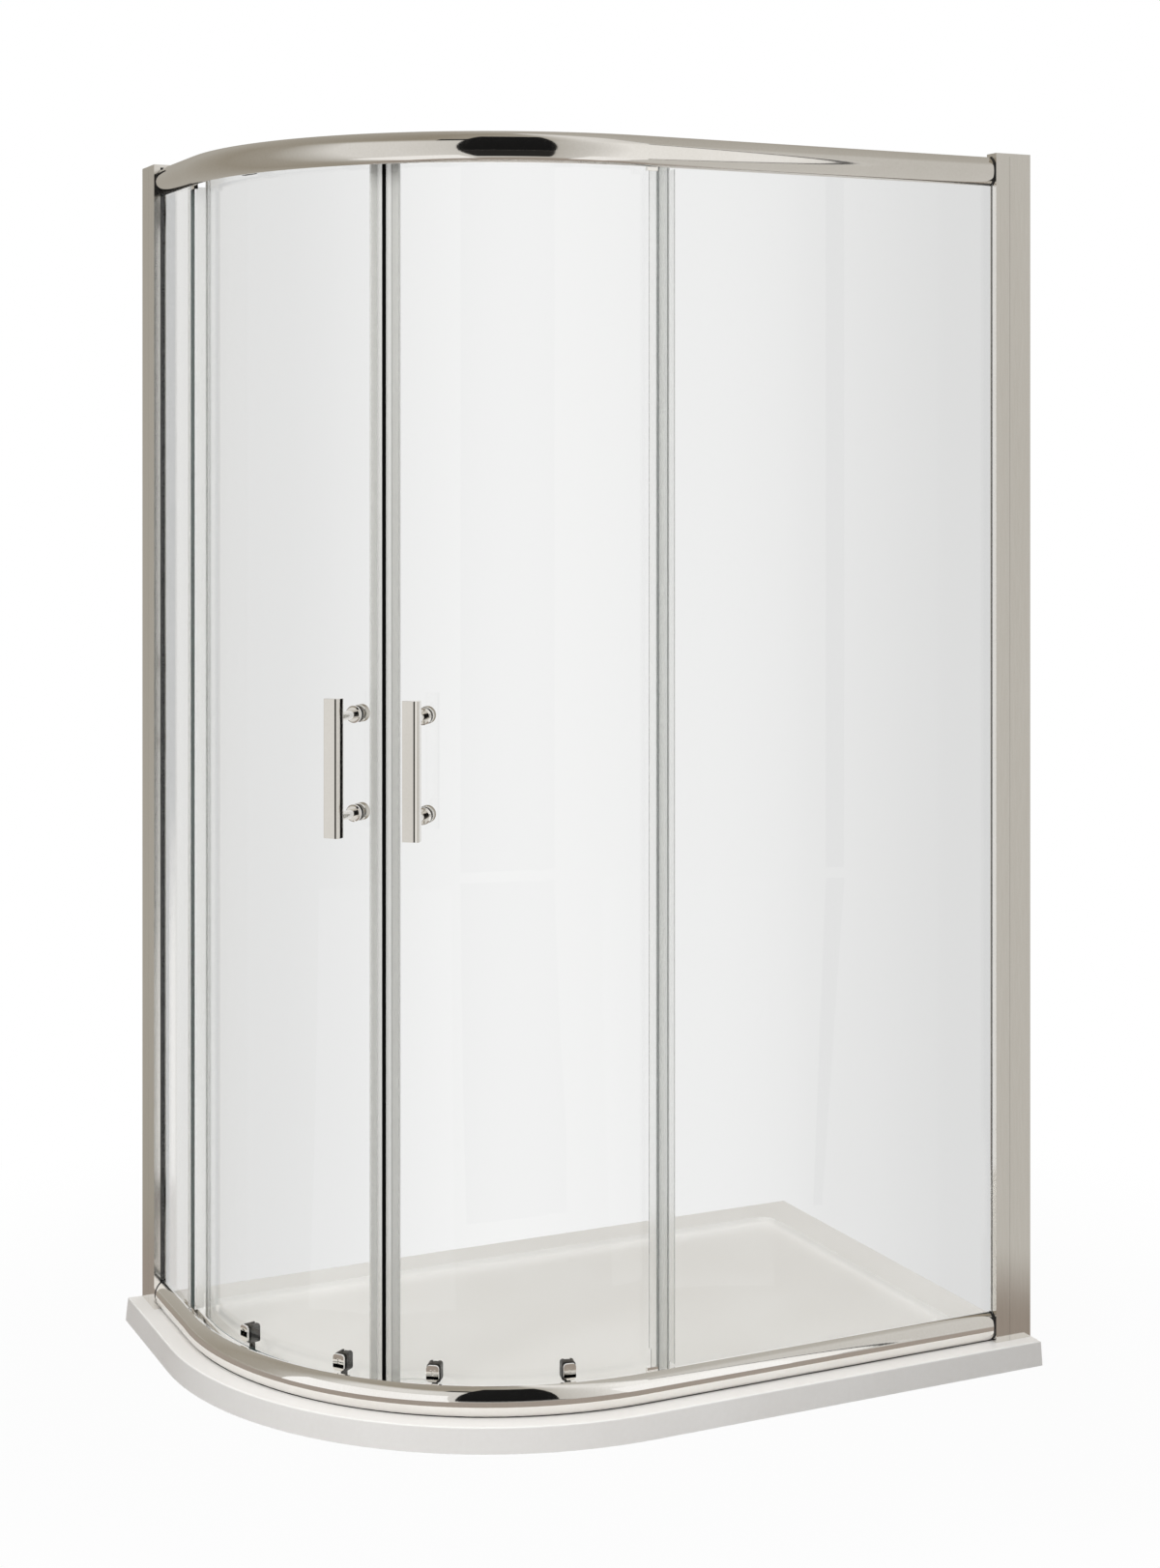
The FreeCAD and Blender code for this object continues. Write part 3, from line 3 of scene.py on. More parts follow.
import bpy
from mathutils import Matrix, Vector


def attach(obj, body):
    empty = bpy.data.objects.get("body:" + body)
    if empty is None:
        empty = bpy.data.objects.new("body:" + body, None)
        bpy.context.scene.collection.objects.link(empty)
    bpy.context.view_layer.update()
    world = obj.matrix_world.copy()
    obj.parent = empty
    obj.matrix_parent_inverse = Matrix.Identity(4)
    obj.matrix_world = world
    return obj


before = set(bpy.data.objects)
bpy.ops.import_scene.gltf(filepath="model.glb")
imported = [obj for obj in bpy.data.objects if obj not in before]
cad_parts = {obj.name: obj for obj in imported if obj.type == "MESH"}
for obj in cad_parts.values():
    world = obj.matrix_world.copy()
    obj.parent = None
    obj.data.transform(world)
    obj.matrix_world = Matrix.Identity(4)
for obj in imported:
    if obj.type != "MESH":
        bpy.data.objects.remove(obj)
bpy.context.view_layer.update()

# ---------------------------------------------------------------- the curve and its doors
CURVE_AXIS = Vector((-0.05, 0.15, 0.0))      # upright axis of the curved corner
GLASS_FACE = 0.483                           # radius of the doors' outer faces
MEETING = 46.4                               # degrees round the curve, from -X towards -Y
HANDLE_RUNS = {"left": 0.047, "right": 0.058}    # round the glass, from meeting to handle
BAR_FRONT = 0.550                            # radius of the front of the handle bars
FRONT_ROLL = (0.0039, 86.0)                  # rolled corner: start from the bar's middle, bend
SIDE_ROLL = (0.005, 100.0)                   # the same on the bar's side: depth, bend
EDGE_SLANT = 0.7                             # a pane's edge has less of its normal across it

# ---------------------------------------------------------------- the bottom rail's foot
FOOT_LEFT, FOOT_FRONT, FOOT_RADIUS = -0.56, -0.36, 0.51      # x, y, radius round the curve
FOOT_ENDS = (0.322, 0.531)                   # y where it ends at the left, x at the right
TRAY_TOP = 0.036
BEAD_RADIUS = 0.0009
BEAD_STAND, BEAD_LIFT = 0.0006, 0.0004       # the bead's line: in front of the foot, up
BEAD_STEP = 3                                # degrees between its points on the curve
BEAD_SIDES = 10                              # corners of its round section

# ---------------------------------------------------------------- the room round it
# The room that shiny surfaces reflect.  Azimuth 0 is in front of the long side, 90 on the
# right.  Each list is (degrees, brightness): the walls round the room, and its ceiling.
ROOM_RADIUS, ROOM_EYE = 5.0, 1.2
ROOM_GRID, BOARD_GRID = (72, 20), (8, 8)     # faces round and up
WALLS = ((-180, 0.42), (-164, 0.44), (-128, 0.34), (-106, 0.38), (-92, 0.55), (-80, 0.76),
         (-60, 0.76), (-38, 0.66), (-8, 0.52), (4, 0.66), (18, 0.93), (30.6, 0.93), (31.4, 0.60),
         (60, 0.62), (100, 0.68), (125, 0.45), (150, 0.25), (172, 0.40), (180, 0.42))
CEILING = ((-180, 0.42), (-60, 0.32), (-10, 0.40), (10, 0.80), (30, 0.78), (34, 0.50),
           (180, 0.42))
CEILING_FROM, CEILING_TO = 36.0, 50.0        # degrees up
WALL_FOOT, FLAG_FOOT = -13.7, -13.4          # degrees up, seen from ROOM_EYE
ROOM_FLOOR, WALL_LOWEST, FLAG_FLOOR = 0.001, 0.002, 0.0025   # heights above the ground
LOW_ENOUGH = 0.01                            # below this height a point is on the room's floor
FLOOR_FROM, FLOOR_FACE = 0.05, 5             # inner radius of that floor, degrees a face
NEAR_FLOOR = (0.36, 0.315, 0.275)            # colour of the floor close to the tray
NEAR_TO, NEAR_FROM = 0.85, 1.25              # radii between which that colour fades
FLAG_FORWARD, FLAG_FLOOR_FROM = 0.1, 1.35    # off the wall; radius where its floor begins
FLAG_FLOOR_TINT = (1.0, 0.93, 0.88)
WARM = (1.0, 0.976, 0.930)                   # tint at two thirds brightness: dimmer is warmer
TINT = 0.45                                  # its strength, over the brightness squared
LOW_BOARD_RADIUS, LOW_BOARD_RISES, LOW_BOARD_GRID = 1.5, (-53.0, -23.6), (8, 6)
LOW_BOARD_COLOUR = (0.98, 0.97, 0.955)

# The sheets behind the two open sides, and their brightness along X - Y.
BACKDROP_X, BACKDROP_Y = 0.603, 0.403        # just outside the tray
BACKDROP_LEFT, BACKDROP_NEAR, BACKDROP_TOP = -0.8, -0.6, 2.6
BACKDROP_SPAN = 1.2                          # X - Y runs this far to both sides
BACKDROP = ((0.0, 1.0), (0.115, 0.97), (0.145, 0.84), (0.183, 0.845), (0.368, 0.985),
            (0.509, 0.92), (0.657, 0.85), (0.831, 0.785), (0.90, 0.77))

FLOOR_SIZE, FLOOR_LEVEL = 14.0, -0.0005
FLOOR_PAINT = 0.36
FLOOR_FADE, FLOOR_GLOW = (0.7, 1.5), (0.96, 1.0)     # radii, and share of plain white there
WORLD_RISE, WORLD_LIGHT = (0.2, 0.9), (0.26, 1.08)   # upward share, and light there
WORLD_TINT = (1.0, 0.99, 0.975)
CARD_Y, CARD_HEIGHT, CARD_FROM, CARD_TO = -0.9, 0.5, 0.28, 1.6
CARD_COLOUR = (0.06, 0.05, 0.03)
SEEN = ("Is Camera Ray", "Is Glossy Ray", "Is Transmission Ray")
UNSEEN = ("Is Shadow Ray", "Is Diffuse Ray")

# ---------------------------------------------------------------- the fitted camera
PHOTO_WIDTH, PHOTO_HEIGHT = 1200, 1622
FOCAL, CENTRE = 2571.76, (650.8, 474.82)     # pixels
SENSOR = 36.0
CAMERA_PLACE, CAMERA_TURN = (-1.60239, -3.51753, 1.37283), -25.80


def round_curve(side, run):
    """Degrees round the curve of a point on a door, by its distance from the meeting line."""
    turn = math.degrees(run / GLASS_FACE)
    return MEETING - turn if side == "left" else MEETING + turn


def along_curve(angle):
    """The level direction in which the angle round the curve grows."""
    return Vector((math.sin(math.radians(angle)), -math.cos(math.radians(angle)), 0.0))


# ---------------------------------------------------------------- node helpers
def material(name):
    """A material, its nodes, its links and its Principled shader."""
    made = bpy.data.materials.new(name)
    made.use_nodes = True
    nodes, links = made.node_tree.nodes, made.node_tree.links
    return made, nodes, links, nodes["Principled BSDF"]


def settings(node, **values):
    """Sets a node's inputs by name, with an underscore for each space."""
    for name, value in values.items():
        node.inputs[name.replace("_", " ")].default_value = value


def calculate(nodes, links, operation, *values):
    """A maths node: each value is a number or another node's output."""
    node = nodes.new("ShaderNodeMath")
    node.operation = operation
    for socket, entry in zip(node.inputs, values):
        if isinstance(entry, (int, float)):
            socket.default_value = entry
        else:
            links.new(entry, socket)
    return node.outputs[0]


def mapped(nodes, links, source, start, end, low=0.0, high=1.0, smooth=False):
    """Turns the range from start to end into low to high, with soft ends if smooth."""
    node = nodes.new("ShaderNodeMapRange")
    if smooth:
        node.interpolation_type = "SMOOTHSTEP"
    settings(node, From_Min=start, From_Max=end, To_Min=low, To_Max=high)
    links.new(source, node.inputs["Value"])
    return node.outputs["Result"]


def colour_ramp(nodes, links, source, stops, blend="LINEAR"):
    """A colour by position, from (position, colour) stops."""
    node = nodes.new("ShaderNodeValToRGB")
    ramp = node.color_ramp
    ramp.interpolation = blend
    while len(ramp.elements) < len(stops):
        ramp.elements.new(0.5)
    for element, (position, colour) in zip(ramp.elements, stops):
        element.position = position
        element.color = (*colour, 1)
    links.new(source, node.inputs["Fac"])
    return node.outputs["Color"]


def mix_shaders(nodes, links, amount, first, second):
    """The first shader where the amount is 0, the second where it is 1."""
    node = nodes.new("ShaderNodeMixShader")
    for socket, source in zip(node.inputs, (amount, first, second)):
        links.new(source, socket)
    return node.outputs[0]


def seen_as(nodes, links, names):
    """1 for any of these kinds of ray."""
    path = nodes.new("ShaderNodeLightPath")
    seen = path.outputs[names[0]]
    for name in names[1:]:
        seen = calculate(nodes, links, "MAXIMUM", seen, path.outputs[name])
    return seen


def surface_group():
    """Soft blotches and fine drawn lines over a surface, shared by the metals and plastics."""
    group = bpy.data.node_groups.new("handled_surface", "ShaderNodeTree")
    face = group.interface
    for name, start in (("Blotch Scale", 9.0), ("Line Scale", 400.0), ("Blotch", 0.5),
                        ("Lines", 0.5)):
        socket = face.new_socket(name, in_out="INPUT", socket_type="NodeSocketFloat")
        socket.default_value = start
    face.new_socket("Vector", in_out="INPUT", socket_type="NodeSocketVector")
    face.new_socket("Mask", in_out="OUTPUT", socket_type="NodeSocketFloat")
    nodes, links = group.nodes, group.links
    entry, leave = nodes.new("NodeGroupInput"), nodes.new("NodeGroupOutput")
    blotches, lines = nodes.new("ShaderNodeTexNoise"), nodes.new("ShaderNodeTexNoise")
    settings(blotches, Detail=3.0, Roughness=0.55)
    settings(lines, Detail=1.0, Roughness=0.5)
    parts = []
    for texture, size, amount in ((blotches, "Blotch Scale", "Blotch"),
                                  (lines, "Line Scale", "Lines")):
        links.new(entry.outputs["Vector"], texture.inputs["Vector"])
        links.new(entry.outputs[size], texture.inputs["Scale"])
        parts.append(calculate(nodes, links, "MULTIPLY", texture.outputs["Fac"],
                               entry.outputs[amount]))
    links.new(calculate(nodes, links, "ADD", *parts), leave.inputs["Mask"])
    return group


SURFACE = surface_group()
MASK_RANGE = (0.3, 0.7)                      # where nearly all of the mask's values lie


def surface_mask(nodes, links, stretch=(1, 1, 1), **values):
    """The shared surface mask, on the piece's own coordinates."""
    place, scale = nodes.new("ShaderNodeTexCoord"), nodes.new("ShaderNodeMapping")
    scale.inputs["Scale"].default_value = stretch
    group = nodes.new("ShaderNodeGroup")
    group.node_tree = SURFACE
    settings(group, **values)
    links.new(place.outputs["Object"], scale.inputs["Vector"])
    links.new(scale.outputs["Vector"], group.inputs["Vector"])
    return group.outputs["Mask"]


def spread(nodes, links, mask, low, high):
    """Turns the surface mask into a range."""
    return mapped(nodes, links, mask, *MASK_RANGE, low, high)


def tints(nodes, links, mask, low, high):
    """Turns the surface mask into a blend of two colours."""
    return colour_ramp(nodes, links, mask, tuple(zip(MASK_RANGE, (low, high))))


def bump(nodes, links, shader, source, distance, strength, under=None):
    """Relief from a mask, over the normals of what is under it."""
    node = nodes.new("ShaderNodeBump")
    settings(node, Strength=strength, Distance=distance)
    links.new(source, node.inputs["Height"])
    links.new(node.outputs["Normal"], shader.inputs["Normal"])
    if under is not None:
        links.new(under, node.inputs["Normal"])


# ---------------------------------------------------------------- materials
def rolled_bar(nodes, links, side):
    """Normals of a handle bar, whose long corner rolls over from its front to its side."""
    angle = round_curve(side, HANDLE_RUNS[side])
    place, apart = nodes.new("ShaderNodeTexCoord"), nodes.new("ShaderNodeVectorMath")
    apart.operation = "SUBTRACT"
    links.new(place.outputs["Object"], apart.inputs[0])
    apart.inputs[1].default_value = CURVE_AXIS
    rolls = []
    (from_middle, front_bend), (depth, side_bend) = FRONT_ROLL, SIDE_ROLL
    for direction, start, bend in ((along_curve(angle), from_middle, front_bend),
                                   (along_curve(angle - 90), BAR_FRONT - depth, side_bend)):
        along = nodes.new("ShaderNodeVectorMath")
        along.operation = "DOT_PRODUCT"
        links.new(apart.outputs["Vector"], along.inputs[0])
        along.inputs[1].default_value = direction
        past = calculate(nodes, links, "MAXIMUM", calculate(
            nodes, links, "SUBTRACT", along.outputs["Value"], start), 0.0)
        rolls.append(calculate(nodes, links, "MULTIPLY", calculate(
            nodes, links, "POWER", past, 2.0), -bend))
    shape = nodes.new("ShaderNodeBump")
    settings(shape, Strength=1.0, Distance=1.0)
    links.new(calculate(nodes, links, "ADD", *rolls), shape.inputs["Height"])
    return shape.outputs["Normal"]


def polished_chrome(name, low, high, rough, stretch=(1, 1, 1), handle=None):
    """Chrome plate: bright, warm, with faint smears and the drawn lines of the metal below."""
    made, nodes, links, shader = material(name)
    settings(shader, Metallic=1.0)
    mask = surface_mask(nodes, links, stretch, Blotch_Scale=7.0, Line_Scale=300.0, Blotch=0.7,
                        Lines=0.3)
    links.new(tints(nodes, links, mask, low, high), shader.inputs["Base Color"])
    links.new(spread(nodes, links, mask, rough * 0.7, rough * 1.3), shader.inputs["Roughness"])
    bump(nodes, links, shader, mask, distance=0.0002, strength=0.05,
         under=rolled_bar(nodes, links, handle) if handle else None)
    return made


def let_light_through(nodes, links, shader, colour):
    """Shadow and bounced rays pass straight, so that what is behind stays lit."""
    clear = nodes.new("ShaderNodeBsdfTransparent")
    settings(clear, Color=(*colour, 1))
    links.new(mix_shaders(nodes, links, seen_as(nodes, links, UNSEEN), shader.outputs[0],
                          clear.outputs[0]), nodes["Material Output"].inputs["Surface"])


def clear_glass():
    """Toughened glass, a little grey in the pane."""
    made, nodes, links, shader = material("clear_glass")
    settings(shader, Metallic=0.0, Roughness=0.0, IOR=1.45, Transmission_Weight=1.0)
    facing = nodes.new("ShaderNodeLayerWeight")
    settings(facing, Blend=0.35)
    links.new(colour_ramp(nodes, links, facing.outputs["Facing"],
                          ((0.0, (0.925, 0.928, 0.925)), (1.0, (0.885, 0.895, 0.89)))),
              shader.inputs["Base Color"])
    let_light_through(nodes, links, shader, (0.985, 0.99, 0.985))
    return made


def glass_edge():
    """The ground and polished edge of the glass, where it looks dark green."""
    made, nodes, links, shader = material("glass_edge")
    settings(shader, Metallic=0.0, Roughness=0.12, IOR=1.45, Transmission_Weight=0.25)
    mask = surface_mask(nodes, links, (1, 1, 0.1), Blotch_Scale=20.0, Line_Scale=700.0,
                        Blotch=0.5, Lines=0.5)
    links.new(tints(nodes, links, mask, (0.008, 0.030, 0.028), (0.03, 0.085, 0.078)),
              shader.inputs["Base Color"])
    bump(nodes, links, shader, mask, distance=0.0002, strength=0.1)
    return made


def clear_vinyl(name, low, high, transmission):
    """Extruded clear vinyl, milky where it is thick, with the lines of the die along it."""
    made, nodes, links, shader = material(name)
    settings(shader, Metallic=0.0, IOR=1.45, Transmission_Weight=transmission)
    mask = surface_mask(nodes, links, (1, 1, 0.004), Blotch_Scale=40.0, Line_Scale=500.0,
                        Blotch=0.7, Lines=0.3)
    links.new(tints(nodes, links, mask, low, high), shader.inputs["Base Color"])
    links.new(spread(nodes, links, mask, 0.10, 0.22), shader.inputs["Roughness"])
    bump(nodes, links, shader, mask, distance=0.0002, strength=0.05)
    let_light_through(nodes, links, shader, (0.80, 0.82, 0.81))
    return made


def cast_white():
    """Gel-coated cast tray: white, glossy, with a faint orange peel."""
    made, nodes, links, shader = material("cast_white")
    settings(shader, Metallic=0.0, IOR=1.46, Coat_Weight=0.25, Coat_Roughness=0.12)
    mask = surface_mask(nodes, links, (1, 1, 1), Blotch_Scale=5.0, Line_Scale=160.0,
                        Blotch=0.7, Lines=0.3)
    links.new(tints(nodes, links, mask, (0.800, 0.785, 0.765), (0.835, 0.825, 0.810)),
              shader.inputs["Base Color"])
    links.new(spread(nodes, links, mask, 0.28, 0.40), shader.inputs["Roughness"])
    bump(nodes, links, shader, mask, distance=0.0006, strength=0.10)
    return made


def moulded(name, low, high, rough_low, rough_high, grain=900.0, shine=0.5):
    """Moulded plastic or rubber with a fine spark-eroded grain."""
    made, nodes, links, shader = material(name)
    settings(shader, Metallic=0.0, IOR=1.48, Specular_IOR_Level=shine)
    mask = surface_mask(nodes, links, (1, 1, 1), Blotch_Scale=30.0, Line_Scale=grain,
                        Blotch=0.4, Lines=0.6)
    links.new(tints(nodes, links, mask, low, high), shader.inputs["Base Color"])
    links.new(spread(nodes, links, mask, rough_low, rough_high), shader.inputs["Roughness"])
    bump(nodes, links, shader, mask, distance=0.0004, strength=0.25)
    return made


CHROME = polished_chrome("warm_chrome", (0.80, 0.775, 0.735), (0.86, 0.84, 0.81), 0.045)
POST_CHROME = polished_chrome("post_chrome", (0.76, 0.735, 0.695), (0.83, 0.81, 0.775), 0.10,
                              (1, 1, 0.08))
# The bottom rail's chrome is a brighter copy of the rail plate: painted highlight for its whiter
# reflections.
LIT_BOTTOM_RAIL_CHROME = polished_chrome("lit_bottom_rail_chrome", (0.89, 0.87, 0.84), (0.95, 0.94, 0.92), 0.04)
BRIGHT = ((0.84, 0.82, 0.785), (0.90, 0.88, 0.85), 0.04)
BRIGHT_CHROME = polished_chrome("bright_chrome", *BRIGHT)
BARS = {side: polished_chrome(side + "_bar_chrome", *BRIGHT, handle=side)
        for side in HANDLE_RUNS}
STEEL = polished_chrome("screw_steel", (0.40, 0.39, 0.375), (0.50, 0.49, 0.475), 0.18)
GLASS = clear_glass()
EDGE = glass_edge()
VINYL = clear_vinyl("clear_vinyl", (0.92, 0.92, 0.91), (0.97, 0.97, 0.96), 0.95)
LEAD_VINYL = clear_vinyl("nose_vinyl", (0.70, 0.695, 0.675), (0.82, 0.815, 0.795), 0.75)
WHITE = cast_white()
RUBBER = moulded("black_rubber", (0.006, 0.006, 0.006), (0.016, 0.016, 0.016), 0.45, 0.65)
GASKET = moulded("gasket_rubber", (0.012, 0.012, 0.012), (0.03, 0.03, 0.03), 0.22, 0.35,
                 shine=0.8)
BLACK = moulded("black_moulding", (0.008, 0.008, 0.008), (0.022, 0.022, 0.022), 0.30, 0.45)
MAGNET = moulded("magnet_rubber", (0.001, 0.001, 0.001), (0.003, 0.003, 0.003), 0.75, 0.90,
                 shine=0.08)
NYLON = moulded("wheel_nylon", (0.50, 0.50, 0.48), (0.58, 0.58, 0.56), 0.30, 0.42, 500.0)

FINISH = {
    "shower_tray": WHITE, "left_wall_channel": POST_CHROME, "right_wall_channel": POST_CHROME,
    "left_frame_profile": POST_CHROME, "right_frame_profile": POST_CHROME,
    "post_top_caps": POST_CHROME, "top_rail": CHROME, "bottom_rail": LIT_BOTTOM_RAIL_CHROME,
    "rail_end_caps": BLACK, "rail_fixing_screws": STEEL, "frame_clamp_screws": STEEL,
    "screw_cover_caps": CHROME, "glazing_gaskets": GASKET, "panel_edge_seals": VINYL,
    "fixed_panel_clips": BRIGHT_CHROME, "door_stops": RUBBER,
    "magnet_seal": LEAD_VINYL, "magnet_strip": MAGNET, "trailing_seal": VINYL,
    "left_handle_bar": BARS["left"], "right_handle_bar": BARS["right"],
    "handle_posts": CHROME, "handle_washers": RUBBER, "handle_knobs": CHROME,
    "top_roller_brackets": BLACK, "top_roller_axles": STEEL,
    "bottom_roller_caps": BRIGHT_CHROME, "bottom_roller_housings": BLACK,
    "release_slide": BLACK, "top_wheel": NYLON, "bottom_wheel": NYLON,
}


def finish_of(name):
    """The finish of a CAD node, by its name without its side and its number."""
    if name in FINISH:
        return FINISH[name]
    return FINISH[name.split("_", 1)[1].rstrip("_0123456789")]


def dress_pane(obj, is_edge):
    """Glass on the two faces of a pane and the edge finish round it."""
    obj.data.materials.clear()
    obj.data.materials.append(GLASS)
    obj.data.materials.append(EDGE)
    for polygon in obj.data.polygons:
        polygon.material_index = 1 if is_edge(polygon) else 0


def flat_edge(polygon, across):
    """Whether a face of a flat pane is its edge; across is the axis through the pane."""
    return abs(polygon.normal[across]) < EDGE_SLANT


def curved_edge(polygon):
    """Whether a face of a curved pane is its edge."""
    spoke = (Vector(polygon.center) - CURVE_AXIS) * Vector((1, 1, 0))
    return abs(spoke.normalized().dot(polygon.normal)) < EDGE_SLANT


for name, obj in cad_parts.items():
    if name == "left_fixed_glass":
        dress_pane(obj, lambda polygon: flat_edge(polygon, 0))
    elif name == "right_fixed_glass":
        dress_pane(obj, lambda polygon: flat_edge(polygon, 1))
    elif name.endswith("door_glass"):
        dress_pane(obj, curved_edge)
    else:
        obj.data.materials.clear()
        obj.data.materials.append(finish_of(name))


# ---------------------------------------------------------------- dark bead: painted contact shadow
def placed(name, points, edges, faces):
    """A mesh object in the scene."""
    mesh = bpy.data.meshes.new(name)
    mesh.from_pydata(points, edges, faces)
    piece = bpy.data.objects.new(name, mesh)
    bpy.context.scene.collection.objects.link(piece)
    return piece


def bead_tree():
    """Geometry Nodes: a round bead of a given radius along an open line."""
    tree = bpy.data.node_groups.new("round_bead", "GeometryNodeTree")
    face, nodes, links = tree.interface, tree.nodes, tree.links
    face.new_socket("Geometry", in_out="INPUT", socket_type="NodeSocketGeometry")
    radius = face.new_socket("Radius", in_out="INPUT", socket_type="NodeSocketFloat")
    face.new_socket("Geometry", in_out="OUTPUT", socket_type="NodeSocketGeometry")
    entry, leave = nodes.new("NodeGroupInput"), nodes.new("NodeGroupOutput")
    line, ring, sweep, smooth, whole, finish = (nodes.new("GeometryNode" + kind) for kind in (
        "MeshToCurve", "CurvePrimitiveCircle", "CurveToMesh", "SetShadeSmooth",
        "RealizeInstances", "SetMaterial"))
    settings(ring, Resolution=BEAD_SIDES)
    settings(sweep, Fill_Caps=True)
    settings(finish, Material=RUBBER)
    links.new(entry.outputs["Geometry"], line.inputs[0])
    links.new(entry.outputs["Radius"], ring.inputs["Radius"])
    links.new(line.outputs[0], sweep.inputs["Curve"])
    links.new(ring.outputs[0], sweep.inputs["Profile Curve"])
    for first, second in ((sweep, smooth), (smooth, whole), (whole, finish), (finish, leave)):
        links.new(first.outputs[0], second.inputs[0])
    return tree, radius.identifier


def rail_foot(stand):
    """The line of the bottom rail's foot, a little in front of it."""
    arc = [CURVE_AXIS + Vector((-math.cos(math.radians(angle)), -math.sin(math.radians(angle)),
                                0.0)) * (FOOT_RADIUS + stand)
           for angle in range(0, 91, BEAD_STEP)]
    line = [Vector((FOOT_LEFT - stand, FOOT_ENDS[0], 0.0)), *arc,
            Vector((FOOT_ENDS[1], FOOT_FRONT - stand, 0.0))]
    return [(point.x, point.y, TRAY_TOP + BEAD_LIFT) for point in line]


def shadow_line_bead(name, points, radius):
    """A thin dark bead where the bottom rail stands on the tray: painted shadow for the contact
    line at the joint.
    """
    piece = placed(name, points, [(start, start + 1) for start in range(len(points) - 1)], [])
    tree, radius_input = bead_tree()
    modifier = piece.modifiers.new("bead", "NODES")
    modifier.node_group = tree
    modifier[radius_input] = radius
    shaped = piece.evaluated_get(bpy.context.evaluated_depsgraph_get())
    swept = bpy.data.meshes.new_from_object(shaped)
    piece.modifiers.clear()
    piece.data = swept
    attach(piece, "enclosure")


# A dark line along the bottom rail's foot, painted contact shadow.
shadow_line_bead("rail_foot_shadow_line", rail_foot(BEAD_STAND), BEAD_RADIUS)


# ---------------------------------------------------------------- studio
def stage_sheet(name, corners, made):
    """One flat face of the stage."""
    sheet = placed(name, corners, [], [tuple(range(len(corners)))])
    sheet.data.materials.append(made)
    return sheet


def glowing(name, colour=None):
    """An emission material, with nothing yet on its colour unless one is given."""
    made = bpy.data.materials.new(name)
    made.use_nodes = True
    nodes, links = made.node_tree.nodes, made.node_tree.links
    nodes.clear()
    glow, leave = nodes.new("ShaderNodeEmission"), nodes.new("ShaderNodeOutputMaterial")
    links.new(glow.outputs[0], leave.inputs["Surface"])
    if colour is not None:
        settings(glow, Color=(*colour, 1))
    return made, nodes, links, glow


def hide_from(piece, *kinds):
    """Keeps a piece of the stage from these kinds of ray."""
    for kind in kinds:
        setattr(piece, "visible_" + kind, False)


def studio_floor():
    """White floor that shows white, with a trace of the tray's shadow close to it."""
    made, nodes, links, glow = glowing("studio_floor")
    paint, place = nodes.new("ShaderNodeBsdfDiffuse"), nodes.new("ShaderNodeTexCoord")
    settings(paint, Color=(FLOOR_PAINT, FLOOR_PAINT, FLOOR_PAINT, 1))
    reach = nodes.new("ShaderNodeVectorMath")
    reach.operation = "LENGTH"
    links.new(place.outputs["Object"], reach.inputs[0])
    share = mapped(nodes, links, reach.outputs["Value"], *FLOOR_FADE, *FLOOR_GLOW, smooth=True)
    amount = calculate(nodes, links, "MULTIPLY", seen_as(nodes, links, SEEN), share)
    links.new(mix_shaders(nodes, links, amount, paint.outputs[0], glow.outputs[0]),
              nodes["Material Output"].inputs["Surface"])
    stage_sheet("floor", [(side * FLOOR_SIZE, end * FLOOR_SIZE, FLOOR_LEVEL)
                          for side, end in ((-1, -1), (1, -1), (1, 1), (-1, 1))], made)


def studio_world():
    """White all round to the eye; as light, soft and brighter from above."""
    world = bpy.data.worlds.new("studio")
    bpy.context.scene.world = world
    world.use_nodes = True
    nodes, links = world.node_tree.nodes, world.node_tree.links
    nodes.clear()
    place, apart = nodes.new("ShaderNodeTexCoord"), nodes.new("ShaderNodeSeparateXYZ")
    links.new(place.outputs["Generated"], apart.inputs[0])
    light, white = nodes.new("ShaderNodeBackground"), nodes.new("ShaderNodeBackground")
    links.new(mapped(nodes, links, apart.outputs["Z"], *WORLD_RISE, *WORLD_LIGHT),
              light.inputs["Strength"])
    settings(light, Color=(*WORLD_TINT, 1))
    settings(white, Color=(1, 1, 1, 1))
    links.new(mix_shaders(nodes, links, seen_as(nodes, links, SEEN), light.outputs[0],
                          white.outputs[0]),
              nodes.new("ShaderNodeOutputWorld").inputs["Surface"])


def only_reflected(card):
    """Shows a card in reflections alone."""
    hide_from(card, "camera", "diffuse", "shadow", "transmission", "volume_scatter")


def steps(low, high, count):
    """Even steps from low to high, both included."""
    return [low + (high - low) * step / count for step in range(count + 1)]


def room_point(radius, azimuth, rise):
    """A point of the room, by its directions in degrees from the eye in the middle."""
    turn, climb = math.radians(azimuth), math.radians(rise)
    level = radius * math.cos(climb)
    return (level * math.sin(turn), -level * math.cos(turn),
            max(WALL_LOWEST, ROOM_EYE + radius * math.sin(climb)))


def curved_panel(name, radius, azimuths, rises, grid):
    """A patch of the room's round wall between two azimuths and two rises."""
    across, up = grid
    points = [room_point(radius, azimuth, rise)
              for rise in steps(*rises, up) for azimuth in steps(*azimuths, across)]
    wide = across + 1
    faces = [(row * wide + place, row * wide + place + 1,
              (row + 1) * wide + place + 1, (row + 1) * wide + place)
             for row in range(up) for place in range(across)]
    panel = placed(name, points, [], faces)
    only_reflected(panel)
    return panel


def curved_floor(name, near, far, start, end, height):
    """A ring of floor, or part of one, between two radii."""
    count = max(2, int((end - start) / FLOOR_FACE))
    corners = [(radius * math.sin(math.radians(azimuth)),
                -radius * math.cos(math.radians(azimuth)), height)
               for radius in (near, far) for azimuth in steps(start, end, count)]
    faces = [(side, side + 1, count + side + 2, count + side + 1) for side in range(count)]
    ring = placed(name, corners, [], faces)
    only_reflected(ring)
    return ring


def warm_grey(grey):
    """A brightness with the room's tint, the dimmer the warmer."""
    return tuple(grey * part ** (TINT / grey ** 2) for part in WARM)


